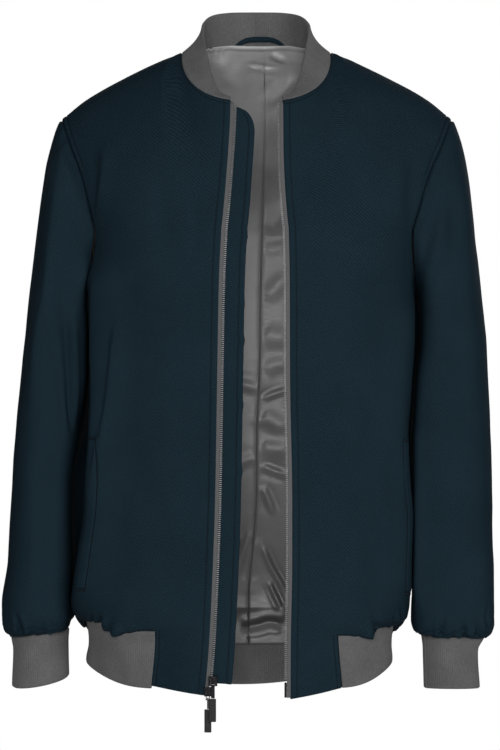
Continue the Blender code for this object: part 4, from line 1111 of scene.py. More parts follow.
def tape_cloth(name, low, high):
    """Woven zip tape with a fine herringbone."""
    n = Nodes(name)
    uv = n.uv()
    u, v, _ = n.split(uv)
    zig = n.math("ABSOLUTE", n.math("SUBTRACT", n.math("FRACT", n.math("MULTIPLY", u, 1 / 0.0018)), 0.5))
    bone = n.math("SINE", n.math("ADD", n.math("MULTIPLY", v, 2 * math.pi / 0.0011), n.math("MULTIPLY", zig, 9.0)))
    bone = n.math("MULTIPLY_ADD", bone, 0.5, 0.5)
    fuzz = n.noise(uv, 1500, 2, 0.6)
    col = n.ramp(n.math("ADD", n.math("MULTIPLY", bone, 0.5), n.math("MULTIPLY", fuzz, 0.5)), (0.2, low), (0.85, high))
    n.set(Base_Color=col, Roughness=n.remap(fuzz, 0.2, 0.8, 0.9, 0.75), Normal=n.bump(bone, 0.4, 0.0002))
    n.bsdf.inputs["Specular IOR Level"].default_value = 0.2
    return n.mat


def hard(name, low, high, rough, metal, grain=400, bump=0.08, coat=0.0):
    """Metal or moulded rubber: mottled, finely scratched."""
    n = Nodes(name)
    place = n.node("ShaderNodeTexCoord").outputs["Object"]
    a = n.noise(place, grain, 3, 0.6)
    scratch = n.noise(n.node("ShaderNodeMapping", {"Vector": place, "Scale": (2200, 2200, 320)}).outputs[0], 1.0, 2, 0.6)
    col = n.ramp(a, (0.25, low), (0.75, high))
    n.set(Base_Color=col, Roughness=n.remap(scratch, 0.3, 0.7, rough * 0.8, min(rough * 1.3, 1)), Normal=n.bump(scratch, bump, 0.0001))
    n.bsdf.inputs["Metallic"].default_value = metal
    if coat:
        n.bsdf.inputs["Coat Weight"].default_value = coat
        n.bsdf.inputs["Coat Roughness"].default_value = 0.2
    return n.mat


def thread(name, low, high):
    n = Nodes(name)
    place = n.node("ShaderNodeTexCoord").outputs["Object"]
    ply = n.noise(place, 2600, 2, 0.6)
    n.set(Base_Color=n.ramp(ply, (0.3, low), (0.7, high)), Roughness=n.remap(ply, 0.3, 0.7, 0.8, 0.6), Normal=n.bump(ply, 0.4, 0.0001))
    n.bsdf.inputs["Specular IOR Level"].default_value = 0.25
    return n.mat


TWILL = twill("navy_twill", (0.0032, 0.0084, 0.0124), (0.0122, 0.0260, 0.0364), (0.023, 0.033, 0.056), 0.8)
SOFT_TWILL = twill("navy_twill_soft", (0.0032, 0.0084, 0.0124), (0.0122, 0.0260, 0.0364), (0.023, 0.033, 0.056), 0.3)
RIB = knit("grey_rib", (0.052, 0.052, 0.053), (0.138, 0.138, 0.140))
SATIN = satin("grey_satin", (0.200, 0.200, 0.201), (0.300, 0.300, 0.302))
TAPE = tape_cloth("grey_tape", (0.045, 0.045, 0.047), (0.115, 0.115, 0.118))
TEETH = hard("grey_teeth", (0.11, 0.11, 0.112), (0.21, 0.21, 0.214), 0.42, 0.1)
METAL = hard("dark_metal", (0.009, 0.009, 0.010), (0.022, 0.022, 0.024), 0.22, 1.0)
RUBBER = hard("black_rubber", (0.004, 0.004, 0.0045), (0.009, 0.009, 0.0095), 0.5, 0.0, 300, 0.15)
RUBBER.node_tree.nodes["Principled BSDF"].inputs["Specular IOR Level"].default_value = 0.2
THREAD = thread("navy_thread", (0.0014, 0.0034, 0.0052), (0.0040, 0.0082, 0.0118))
GREY_THREAD = thread("grey_thread", (0.06, 0.06, 0.062), (0.12, 0.12, 0.123))

THREADS = {"navy": [], "grey": []}  # stitch places, by colour


def flat_size(P, round_=False):
    """Width, length and area of a grid laid flat, in metres."""
    s, r = runs(P, round_)
    a = P[:-1, :-1]
    area = np.linalg.norm(np.cross(P[1:, 1:] - P[:-1, :-1], P[:-1, 1:] - P[1:, :-1]), axis=-1).sum() / 2
    if round_:
        area += np.linalg.norm(np.cross(P[1:, 0] - P[:-1, -1], P[:-1, 0] - P[1:, -1]), axis=-1).sum() / 2
    return float(s[:, -1].max()), float(r[-1].max()), float(area)


def sheet(ob, P, node, body="jacket", round_=False, part=1.0):
    """Puts a cloth piece in place of its CAD node and hides the node."""
    w, l, area = flat_size(P, round_)
    area *= part
    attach(ob, body)
    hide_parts(node)
    if min(w, l) < 0.010:  # a tape or loop, narrower than 10 mm
        return ob
    return ob


# ---------------------------------------------------------------- crease tables (millimetres)
# height, half width, skew to +X, lip, fade in, fade out, then (x, z) points
FRONT_CREASES = {
    -1: [
        (3.0, 3.0, 4.2, 0, 0.3, 0.45, (-157, -96), (-152.5, -119), (-155, -149), (-163, -184)),
        (-1.5, 5.5, 0.7, 0, 0.3, 0.4, (-166, -104), (-161, -130), (-164, -162)),
        (3.8, 3.6, 4.2, 0, 0.22, 0.3, (-136, -272), (-138.5, -296), (-143, -335), (-146.5, -366), (-160, -436), (-165, -466)),
        (2.5, 4.5, 3.6, 0, 0.2, 0.3, (-164, -225), (-164, -300), (-163, -360), (-167, -430), (-176, -500)),
        (-1.3, 10, 1.4, 0.3, 0.4, 0.4, (-96, -120), (-90, -165), (-94, -215)),
        (1.2, 16, 1.3, 0, 0.4, 0.4, (-80, -240), (-84, -320), (-90, -400)),
        (-1.0, 14, 1.2, 0, 0.4, 0.4, (-104, -420), (-101, -480), (-98, -545)),
        (-1.2, 8, 1.6, 0.2, 0.2, 0.5, (-120, -610), (-116, -580), (-108, -545)),
        (0.9, 16, 1.3, 0, 0.4, 0.4, (-70, -430), (-72, -500), (-78, -570)),
        (-0.9, 4.5, 1.4, 0.3, 0.4, 0.4, (-128, -232), (-112, -242), (-92, -247)),
        (-1.0, 5, 1.4, 0.3, 0.4, 0.4, (-60, -150), (-56, -190), (-59, -232)),
        (-3.6, 2.8, 1.6, 0.6, 0.1, 0.7, (-148, -609), (-146, -598), (-141, -586)),
        (-3.2, 2.4, 1.4, 0.6, 0.1, 0.7, (-156, -608), (-155, -597), (-158, -583)),
        (-3.0, 2.4, 1.3, 0.6, 0.1, 0.7, (-164, -608), (-165, -598), (-163, -586)),
        (-1.4, 3.0, 1.3, 0.5, 0.1, 0.7, (-131, -610), (-129, -600), (-131, -588)),
    ],
    1: [
        (-2.0, 9, 1.3, 0.35, 0.4, 0.4, (165, -92), (168, -128), (167, -160), (164, -200)),
        (1.0, 12, 1.2, 0, 0.4, 0.4, (146, -100), (148, -140), (147, -185)),
        (-1.2, 14, 1.2, 0.2, 0.4, 0.4, (118, -330), (124, -390), (128, -450)),
        (-1.6, 10, 1.3, 0.3, 0.4, 0.4, (150, -400), (148, -450), (150, -505)),
        (1.1, 16, 1.3, 0, 0.4, 0.4, (84, -210), (90, -290), (88, -370)),
        (-1.1, 13, 1.3, 0.2, 0.4, 0.4, (96, -500), (92, -550), (96, -600)),
        (1.2, 13, 1.3, 0, 0.4, 0.4, (112, -480), (110, -540), (115, -590)),
        (-1.0, 5, 1.4, 0.3, 0.4, 0.4, (150, -238), (128, -250), (104, -254)),
        (-1.0, 5, 1.3, 0.3, 0.4, 0.4, (66, -160), (62, -205), (66, -250)),
        (-3.8, 2.8, 1.4, 0.5, 0.1, 0.7, (131, -610), (129, -598), (124, -582)),
        (-3.0, 2.6, 1.4, 0.5, 0.1, 0.7, (148, -607), (150, -596), (149, -583)),
        (-3.4, 2.8, 1.4, 0.5, 0.1, 0.7, (158, -602), (157, -590), (152, -576)),
        (-1.4, 3.0, 1.3, 0.5, 0.1, 0.7, (114, -611), (113, -602), (115, -591)),
    ],
}
BACK_CREASES = [
    (1.4, 15, 1.3, 0, 0.4, 0.4, (-120, -120), (-96, -190), (-88, -270)),
    (1.2, 16, 1.3, 0, 0.4, 0.4, (118, -118), (98, -200), (92, -290)),
    (-1.2, 10, 1.5, 0.4, 0.4, 0.4, (-148, -110), (-150, -160), (-156, -215)),
    (-1.2, 10, 1.4, 0.4, 0.4, 0.4, (150, -112), (152, -165), (158, -220)),
    (1.6, 12, 1.4, 0, 0.4, 0.4, (-130, -330), (-120, -410), (-124, -480)),
    (1.3, 13, 1.5, 0, 0.4, 0.4, (126, -320), (118, -400), (125, -470)),
    (1.2, 18, 1.2, 0, 0.4, 0.4, (-40, -300), (-36, -400), (-44, -520)),
    (1.0, 18, 1.2, 0, 0.4, 0.4, (46, -340), (40, -430), (50, -540)),
    (-1.1, 8, 1.4, 0.3, 0.2, 0.6, (-70, -618), (-66, -585), (-56, -545)),
    (-1.1, 8, 1.4, 0.3, 0.2, 0.6, (34, -618), (38, -580), (47, -550)),
    (-1.1, 9, 1.4, 0.3, 0.2, 0.6, (104, -618), (100, -590), (96, -555)),
]
SLEEVE_CREASES = {
    -1: {
        -1: [
            (4.0, 3.4, 4.5, 0, 0.12, 0.35, (-191, -78), (-198, -140), (-204, -200), (-209, -250), (-217, -292), (-225, -350), (-234, -410)),
            (6.5, 12, 1.8, 0, 0.12, 0.35, (-193, -84), (-201, -140), (-207, -200), (-212, -250), (-220, -292), (-228, -350), (-237, -410)),
            (-2.0, 1.7, 1.5, 0.5, 0.1, 0.6, (-193, -78), (-195, -92), (-200, -112)),
            (-1.8, 1.5, 1.5, 0.5, 0.1, 0.6, (-189, -80), (-192, -96), (-196, -112)),
            (-1.8, 6.0, 1.8, 0.3, 0.4, 0.3, (-194, -190), (-196, -250), (-193, -305)),
            (-4.8, 3.6, 1.4, 0.5, 0.3, 0.25, (-194, -262), (-191, -310), (-188, -367), (-183, -410)),
            (-1.6, 9.0, 1.3, 0.3, 0.4, 0.4, (-222, -400), (-214, -450), (-206, -500)),
            (1.2, 12, 1.3, 0, 0.4, 0.4, (-224, -470), (-220, -530), (-222, -580)),
            (-4.6, 2.4, 1.5, 0.5, 0.1, 0.7, (-240, -612), (-242, -600), (-247, -584)),
            (-3.4, 2.4, 1.5, 0.5, 0.1, 0.7, (-216, -613), (-218, -600), (-214, -585)),
            (-2.2, 2.6, 1.5, 0.5, 0.1, 0.7, (-228, -613), (-227, -603), (-230, -592)),
            (-1.6, 5.0, 1.5, 0.4, 0.4, 0.4, (-192, -98), (-197, -128), (-196, -156)),
        ],
        1: [
            (-2.0, 8.0, 1.6, 0.35, 0.35, 0.4, (-200, -110), (-206, -180), (-210, -260)),
            (1.6, 12, 1.3, 0, 0.4, 0.4, (-222, -300), (-216, -380), (-222, -450)),
            (-2.0, 8.0, 1.5, 0.4, 0.4, 0.4, (-230, -340), (-212, -390), (-200, -420)),
            (-1.6, 8.0, 1.5, 0.4, 0.4, 0.4, (-236, -420), (-220, -462), (-206, -490)),
        ],
    },
    1: {
        -1: [
            (-2.8, 8.0, 1.5, 0.4, 0.3, 0.4, (213, -118), (212, -165), (210, -211), (203, -254), (195, -300)),
            (1.8, 10, 1.3, 0, 0.4, 0.4, (197, -150), (197, -210), (190, -262)),
            (-1.8, 5.0, 1.4, 0.3, 0.3, 0.5, (190, -172), (184, -206), (178, -236)),
            (-1.6, 5.0, 1.4, 0.3, 0.3, 0.5, (200, -196), (193, -232), (186, -262)),
            (-1.3, 4.5, 1.4, 0.3, 0.3, 0.5, (204, -130), (196, -165), (189, -196)),
            (-1.4, 12, 1.3, 0.2, 0.4, 0.4, (226, -360), (220, -420), (222, -480)),
            (1.2, 14, 1.3, 0, 0.4, 0.4, (204, -400), (206, -470), (208, -540)),
            (-1.4, 10, 1.3, 0.3, 0.4, 0.4, (236, -500), (228, -540), (224, -580)),
            (-5.0, 2.3, 1.4, 0.5, 0.1, 0.7, (199, -616), (199, -602), (203, -584)),
            (-4.4, 2.2, 1.4, 0.5, 0.1, 0.7, (224, -617), (222, -603), (225, -588)),
            (-3.8, 2.2, 1.4, 0.5, 0.1, 0.7, (236, -616), (237, -604), (234, -590)),
            (-4.4, 2.4, 1.4, 0.5, 0.1, 0.7, (249, -610), (246, -598), (249, -579)),
            (-2.0, 2.6, 1.4, 0.5, 0.1, 0.7, (211, -615), (212, -604), (209, -594)),
        ],
        1: [
            (-2.0, 8.0, 1.6, 0.35, 0.35, 0.4, (200, -112), (206, -180), (212, -255)),
            (1.6, 12, 1.3, 0, 0.4, 0.4, (220, -310), (214, -390), (220, -470)),
            (-2.0, 8.0, 1.5, 0.4, 0.4, 0.4, (232, -350), (214, -402), (200, -436)),
            (-1.6, 8.0, 1.5, 0.4, 0.4, 0.4, (238, -430), (222, -470), (204, -500)),
        ],
    },
}

# ---------------------------------------------------------------- fronts
FRONTS = {}
STITCH_END = {-1: -0.126, 1: -0.136}  # where the armhole topstitching stops, in a small bar
front_w = steps((0, 1, 20), (1, 1.02, 9), (1.02, 1.06, 7), (1.06, 1.3, 26), (1.3, 2, 74), (2, 3, 20), (3, 3.92, 48), (3.92, 4, 24))
for side in (-1, 1):
    by_zip = spaced(lambda u, w: torso(side, -1, u, w), front_w, 0, 1, STITCHED, BY_TAB, 16)
    by_arm = spaced(lambda u, w: torso(side, -1, u, w), front_w, 1, 2, [0, 1.2, 3.0], STITCHED, 38)
    U = np.concatenate([by_zip, by_arm[:, 1:]], axis=1)
    tab_col = by_zip.shape[1] - 1
    W = np.broadcast_to(front_w[:, None], U.shape)
    P = torso(side, -1, U, W)
    N = torso_normals(side, -1, U, W)
    hole = front_w >= 2
    N[hole, -1] = arm_hole_normals(side, -1, front_w[hole], N[hole, -1])
    N[-1, : tab_col + 1] = neck_normals(side, -1, U[-1, : tab_col + 1], N[-1, : tab_col + 1])
    P = pull_in(P, HALF_GAP, left=False, foot=False)
    s, r = runs(P)
    from_zip, from_side = s, s[:, -1:] - s
    from_top = r[-1:] - r
    one = int(np.nonzero(np.isclose(front_w, 1))[0][0])
    from_hem = r - r[one : one + 1]
    from_tab_seam = np.abs(s - s[:, tab_col : tab_col + 1])
    D = crease_field(P, N, FRONT_CREASES[side])
    still = ease(from_side / 0.012) * ease(from_top / 0.012) * ease(from_zip / 0.014)
    D *= still
    D += 0.0006 * smooth_noise(P, 0.045, 11 + side) * still + 0.0003 * smooth_noise(P, 0.018, 21 + side) * still
    # gathers above the hem seam, outside the tab
    beyond = ease((s - s[:, tab_col : tab_col + 1] - 0.035) / 0.05)
    D += gathers(s, np.maximum(from_hem, 0), 31 + side, 0.012, 0.0020, 0.020) * beyond * (W >= 1) * ease(from_side / 0.006)
    # zip edge: stitched-down fold, neckline, hem seam, tab seam, armhole
    D += seam_relief(from_zip, 0.0004, 0.0010, 0.00035, 0.0066)
    D += seam_relief(from_top, 0.0010, 0.0013, 0.0004, 0.0052) * (W > 3)
    D += seam_relief(np.where(W >= 1, from_hem, 1), 0.0009, 0.0012, 0.0004, 0.0022) * (U >= 1)
    low = (W <= 1) & (U <= 1)
    D += seam_relief(np.where(low, from_tab_seam, 1), 0.0007, 0.0012, 0.0003, 0.0048)
    in_hole = W >= 2
    stitched = ease((P[..., 2] - STITCH_END[side]) / 0.004)
    D += seam_relief(np.where(in_hole, from_side, 1), 0.0008, 0.0011, 0.0, None)
    D += (0.0004 * ease(from_side / 0.0015) * (1 - ease((from_side - 0.0062) / 0.0016)) - 0.0010 * np.exp(-(((from_side - 0.0062) / 0.0007) ** 2))) * stitched
    D += seam_relief(np.where(W < 2, from_side, 1), 0.0010, 0.0013)
    table = np.array(HEM_RISE[side])
    rise = np.interp(P[..., 0], table[:, 0], table[:, 1]) * (W >= 1) * (U >= 1) * ease(from_side / 0.022)
    D += 0.0030 * np.clip(-rise / 0.005, 0, 1) * np.exp(-(((from_hem - 0.006) / 0.008) ** 2)) * ease(from_hem / 0.003)
    F = P + N * D[..., None]
    F = F + body_swing(P, W)
    F[..., 2] += rise * (1 - ease(np.maximum(from_hem, 0) / 0.026))
    skip = np.zeros((U.shape[0] - 1, U.shape[1] - 1), bool)
    skip[front_w[:-1] < 1 - 1e-9, tab_col:] = True
    uv = flatten(P, N, np.array([0.0, 0.0, 1.0]))
    # painted shade along the topstitching and seams, stored as the groove attribute
    painted_stitch_shade = np.maximum(groove(from_zip, 0.0066), groove(from_top, 0.0052) * (W > 3))
    painted_stitch_shade = np.maximum(painted_stitch_shade, groove(np.where(W >= 1, from_hem, 1), 0.0022) * (U >= 1))
    painted_stitch_shade = np.maximum(painted_stitch_shade, groove(np.where(low, from_tab_seam, 1), 0.0048))
    painted_stitch_shade = np.maximum(painted_stitch_shade, groove(np.where(in_hole, from_side, 1), 0.0062) * stitched)
    painted_stitch_shade = np.maximum(painted_stitch_shade, 1.5 * groove(np.where(in_hole, from_side, 1), 0.0, 0.0011))
    ob = cloth(f"front_panel_{SIDE_NAME[side]}", F, N, SHELL_WALL, (TWILL, SATIN), uv, skip, dark=0.55 * painted_stitch_shade)
    FRONTS[side] = dict(P=F, N=N, tab=tab_col, one=one)
    tab_area = 1 - (np.linalg.norm(np.cross(P[1 : one + 1, tab_col + 1 :] - P[:one, tab_col:-1], P[:one, tab_col + 1 :] - P[1 : one + 1, tab_col:-1]), axis=-1).sum() / 2) / flat_size(P)[2]
    sheet(ob, P, f"front_{SIDE_NAME[side]}", part=tab_area)
    # topstitching
    line, nor = offset_line(F, N, "left", 0.0066)
    THREADS["navy"].append(stitch_places(line, nor))
    line, nor = offset_line(F[one:, : tab_col + 1], N[one:, : tab_col + 1], "top", 0.0052)
    THREADS["navy"].append(stitch_places(line[3:], nor[3:]))
    hole_rows = np.nonzero((front_w > 2.5) & (P[:, -1, 2] > STITCH_END[side] + 0.001))[0]
    line, nor = offset_line(F[hole_rows], N[hole_rows], "right", 0.0062)
    THREADS["navy"].append(stitch_places(line, nor))
    down, flat_n = unit(line[0] - line[2]), nor[0]
    THREADS["navy"].append(np.stack([line[0] + down * 0.001, np.cross(flat_n, down) * 0.0026, down * 0.0013, flat_n * 0.0011])[None])
    line, nor = offset_line(F[one:, tab_col:], N[one:, tab_col:], "foot", 0.0022)
    THREADS["navy"].append(stitch_places(line, nor))
    line, nor = offset_line(F[: one + 1, : tab_col + 1], N[: one + 1, : tab_col + 1], "right", 0.0048)
    THREADS["navy"].append(stitch_places(line, nor))

# ---------------------------------------------------------------- back
back_w = steps((1, 1.02, 8), (1.02, 1.06, 6), (1.06, 1.3, 24), (1.3, 2, 62), (2, 3, 18), (3, 3.93, 42), (3.93, 4, 16))
u_half = steps((0, 1, 24))
halves = []
for side in (-1, 1):
    by_arm = spaced(lambda u, w: torso(side, 1, u, w), back_w, 1, 2, [0, 2.5], STITCHED, 32)
    U = np.concatenate([np.meshgrid(u_half, back_w)[0], by_arm[:, 1:]], axis=1)
    W = np.broadcast_to(back_w[:, None], U.shape)
    P, N = torso(side, 1, U, W), torso_normals(side, 1, U, W)
    hole = back_w >= 2
    N[hole, -1] = arm_hole_normals(side, 1, back_w[hole], N[hole, -1])
    neck = slice(0, len(u_half))
    N[-1, neck] = neck_normals(side, 1, u_half, N[-1, neck])
    N[:, 0] = unit(N[:, 0] * (0, 1, 1))
    halves.append((P, N, W))
(PR, NR, WR), (PL, NL, WL) = halves
P = np.concatenate([PR[:, ::-1], PL[:, 1:]], axis=1)
N = np.concatenate([NR[:, ::-1], NL[:, 1:]], axis=1)
W = np.concatenate([WR[:, ::-1], WL[:, 1:]], axis=1)
P = pull_in(P, HALF_GAP)
s, r = runs(P)
from_side = np.minimum(s, s[:, -1:] - s)
from_top, from_hem = r[-1:] - r, r
D = crease_field(P, N, BACK_CREASES, 1)
still = ease(from_side / 0.012) * ease(from_top / 0.012)
D = np.maximum(D, -0.0013) * still
D += 0.0006 * (smooth_noise(P, 0.05, 41) + 0.4) * still + 0.0003 * smooth_noise(P, 0.018, 42) * still
D += np.maximum(gathers(s, from_hem, 43, 0.014, 0.0018, 0.024) * ease(from_side / 0.006), -0.0013)
D += seam_relief(from_top, 0.0010, 0.0013, 0.0004, 0.0052)
D += seam_relief(from_hem, 0.0009, 0.0012, 0.0004, 0.0022)
in_hole = W >= 2
D += seam_relief(np.where(in_hole, from_side, 1), 0.0008, 0.0011)
D += (0.0004 * ease(from_side / 0.0015) * (1 - ease((from_side - 0.0062) / 0.0016)) - 0.0010 * np.exp(-(((from_side - 0.0062) / 0.0007) ** 2))) * ease((W - 3.05) / 0.06)
D += seam_relief(np.where(W < 2, from_side, 1), 0.0010, 0.0013)
F = P + N * D[..., None]
F = F + body_swing(P, W)
uv = flatten(P, N, np.array([0.0, 0.0, 1.0]))
back = cloth("back_panel", F, N, SHELL_WALL, (TWILL, SATIN), uv)
sheet(back, P, "back")
BACK = dict(P=F, N=N)
line, nor = offset_line(F, N, "foot", 0.0022)
THREADS["navy"].append(stitch_places(line, nor))
line, nor = offset_line(F, N, "top", 0.0052)
THREADS["navy"].append(stitch_places(line, nor))
rows_up = np.nonzero(back_w >= 3.05)[0]
for edge in ("left", "right"):
    line, nor = offset_line(F[rows_up], N[rows_up], edge, 0.0062)
    THREADS["navy"].append(stitch_places(line, nor))

# ---------------------------------------------------------------- sleeves
SLEEVES = {}
for side in (-1, 1):
    t = (0.5 + np.arange(128) / 128) % 1.0  # from the underarm seam all round
    sv = steps((0, 0.03, 6), (0.03, 0.14, 9), (0.14, 1, 38), (1, 1.85, 80), (1.85, 1.98, 20), (1.98, 2, 7))
    T, S = np.meshgrid(t, sv)
    P, N = sleeve(side, T, S), sleeve_normals(side, T, S)
    hole, front, Wt = armhole(side, t)
    for j in range(len(t)):
        face = -1 if front[j] else 1
        N[0, j] = seam_blend(N[0, j], torso_normals(side, face, 2.0, Wt[j]))
    s, r = runs(P, True)
    from_top, from_foot = r, r[-1:] - r
    D = crease_field(P, N, SLEEVE_CREASES[side][-1], -1) + crease_field(P, N, SLEEVE_CREASES[side][1], 1)
    inner = np.clip(1 - np.abs(T - 0.5) / 0.18, 0, 1)  # the side that lies near the body
    D = np.where(D > 0, D * (1 - inner), D)
    still = ease(from_top / 0.015)
    D *= still
    D += 0.0007 * smooth_noise(P, 0.05, 51 + side) * still * (1 - inner) + 0.0003 * smooth_noise(P, 0.02, 61 + side) * still * (1 - inner)
    s0 = s[:, :-1]
    D += gathers(s0, from_foot, 71 + side, 0.011, 0.0026, 0.019) * (1 - 0.6 * inner)
    # ease at the sleeve head: small puckers just below the shoulder seam
    ripple = line_noise(s[0:1, :-1] * np.ones_like(D), 0.0055, 81 + side)
    D += 0.0013 * (1 - 2 * np.sqrt(ripple**2 + 0.01)) * np.exp(-((from_top / 0.011) ** 1.5)) * ease((np.abs(T - 0.5) - 0.2) / 0.05) * ease(from_top / 0.002)
    D += seam_relief(from_top, 0.0008, 0.0011)
    D += seam_relief(from_foot, 0.0010, 0.0012, 0.0003, 0.0020)
    D = np.maximum(D, mix(-0.02, -0.0006, ease(inner * 1.6) * ease((0.075 - from_foot) / 0.03)))
    F = P + N * D[..., None]
    F = F + sleeve_swing(P, side)
    ring, ring_n = np.concatenate([P, P[:, :1]], axis=1), np.concatenate([N, N[:, :1]], axis=1)
    axis = P.mean(axis=1)
    axis = unit(-np.gradient(axis, axis=0))
    for _ in range(12):
        axis = unit(axis + np.concatenate([axis[:1], axis[:-1]]) + np.concatenate([axis[1:], axis[-1:]]))
    uv = flatten(ring, ring_n, axis[:, None, :])
    ob = cloth(f"sleeve_cloth_{SIDE_NAME[side]}", F, N, SHELL_WALL, (SOFT_TWILL if side < 0 else TWILL, SATIN), uv, round_=True)
    sheet(ob, P, f"sleeve_{SIDE_NAME[side]}", round_=True)
    SLEEVES[side] = dict(P=F, N=N)
    ring, ring_n = np.concatenate([F, F[:, :1]], axis=1), np.concatenate([N, N[:, :1]], axis=1)
    line, nor = offset_line(ring, ring_n, "top", 0.0020)
    THREADS["navy"].append(stitch_places(line, nor))

# ---------------------------------------------------------------- rib knit
RIB_PITCH = 0.0021


def ribs(s, depth=0.00017):
    """Ribs across arc length s."""
    c = np.cos(2 * math.pi * s / RIB_PITCH)
    return depth * (np.sign(c) * np.abs(c) ** 0.7)


# collar
seam_t = np.linspace(-1, 1, 801)
arc = np.concatenate([[0], np.cumsum(np.linalg.norm(np.diff(collar(seam_t, np.full(801, 0.5)), axis=0), axis=1))])
count = int(arc[-1] / RIB_PITCH * 5)
t = np.interp(np.linspace(0, arc[-1], count), arc, seam_t)
v = steps((0, 0.12, 3), (0.12, 0.9, 9), (0.9, 1, 3))
T, V = np.meshgrid(t, v)
P, N = collar(T, V), collar_normals(T, V)
face = np.where(np.abs(t) < 0.46, 1, -1)
P = pull_in(P, 0.0006, foot=False, top=False)
S_arc = np.broadcast_to(np.linspace(0, arc[-1], count), T.shape)
s, r = runs(P)
tall = r[-1:]
flat_ends = ease(tall / 0.012)
D = ribs(S_arc) * flat_ends * ease(r / 0.002) * mix(1, 0.3, ease((V - 0.93) / 0.07))
D += 0.0004 * smooth_noise(P, 0.03, 91) * ease((1 - np.abs(T)) / 0.1)
thin = mix(0.0012, RIB_WALL, ease((1 - np.abs(T)) / 0.25))
F = P + N * D[..., None]
uv = np.stack([-S_arc, r], axis=-1)
collar_ob = cloth("collar_rib", F, N, thin + 2 * D * (V < 0.97), (RIB, RIB), uv)
sheet(collar_ob, P, "collar")

# hem band
seam_t = np.linspace(0, 1, 1201)
arc = np.concatenate([[0], np.cumsum(np.linalg.norm(np.diff(band(seam_t, np.full(1201, 0.5)), axis=0), axis=1))])
count = int(arc[-1] / RIB_PITCH * 4.5)
t = np.interp(np.linspace(0, arc[-1], count), arc, seam_t)
v = steps((0, 0.08, 2), (0.08, 0.9, 8), (0.9, 1, 2))
T, V = np.meshgrid(t, v)
P, N = band(T, V), band_normals(T, V)
S_arc = np.broadcast_to(np.linspace(0, arc[-1], count), T.shape)
s, r = runs(P)
D = ribs(S_arc) * mix(0.3, 1, ease(V / 0.06)) * ease((1 - V) / 0.08)
D += 0.0005 * smooth_noise(P, 0.03, 92) * ease(s / 0.01) * ease((s[:, -1:] - s) / 0.01)
F = P + N * D[..., None]
# its top runs on inside the shell's foot beside the tabs
hidden = np.maximum(ease((T - 0.08) / 0.05) * ease((0.262 - T) / 0.02), ease((0.92 - T) / 0.05) * ease((T - 0.738) / 0.02))
F[..., 2] += 0.0100 * hidden * ease((V - 0.5) / 0.5)
F -= N * (0.0009 * hidden * ease((V - 0.86) / 0.14))[..., None]
out = np.where(P[..., 0] < 0, 0.0048, 0.0032) * ease((np.abs(P[..., 0] - middle(P[..., 2])) - 0.118) / 0.035)
F[..., 0] += np.sign(P[..., 0]) * out * np.exp(-(((P[..., 2] + 0.641) / 0.013) ** 2))
uv = np.stack([S_arc, r], axis=-1)
band_ob = cloth("hem_rib", F, N, RIB_WALL + 2 * D * (V > 0.03), (RIB, RIB), uv)
sheet(band_ob, P, "hem_band")

# cuffs
CUFF_SEAM = {-1: 0.52, 1: 0.43}
for side in (-1, 1):
    seam_t = np.linspace(0, 1, 401)
    arc = np.concatenate([[0], np.cumsum(np.linalg.norm(np.diff(cuff(side, seam_t, np.full(401, 0.5)), axis=0), axis=1))])
    count = int(round(arc[-1] / RIB_PITCH)) * 5
    t = np.interp(np.linspace(0, arc[-1], count + 1)[:-1], arc, seam_t)
    v = steps((0, 0.1, 2), (0.1, 0.92, 9), (0.92, 1, 2))
    T, V = np.meshgrid(t, v)
    P, N = cuff(side, T, V), cuff_normals(side, T, V)
    S_arc = np.broadcast_to(np.arange(count) / 5 * RIB_PITCH, T.shape)
    s, r = runs(P, True)
    D = ribs(S_arc) * mix(1, 0.3, ease((V - 0.94) / 0.06)) * ease(V / 0.08)
    D += 0.0004 * smooth_noise(P, 0.025, 95 + side)
    off = (T - CUFF_SEAM[side]) * arc[-1]  # the knit's own joining seam
    D += 0.0007 * np.exp(-(((off - 0.0013) / 0.0007) ** 2)) - 0.0008 * np.exp(-((off / 0.0006) ** 2))
    F = P + N * D[..., None]
    wide = np.concatenate([S_arc, np.full((len(v), 1), count / 5 * RIB_PITCH)], axis=1)
    uv = np.stack([wide, -np.concatenate([r, r[:, :1]], axis=1)], axis=-1)
    ob = cloth(f"cuff_rib_{SIDE_NAME[side]}", F, N, RIB_WALL + 2 * D * (V < 0.97), (RIB, RIB), uv, round_=True)
    sheet(ob, P, f"cuff_{SIDE_NAME[side]}", round_=True)

# ---------------------------------------------------------------- back lining
LINING_SHIFT = 0.009  # how far its centre seam has swung to the wearer's left
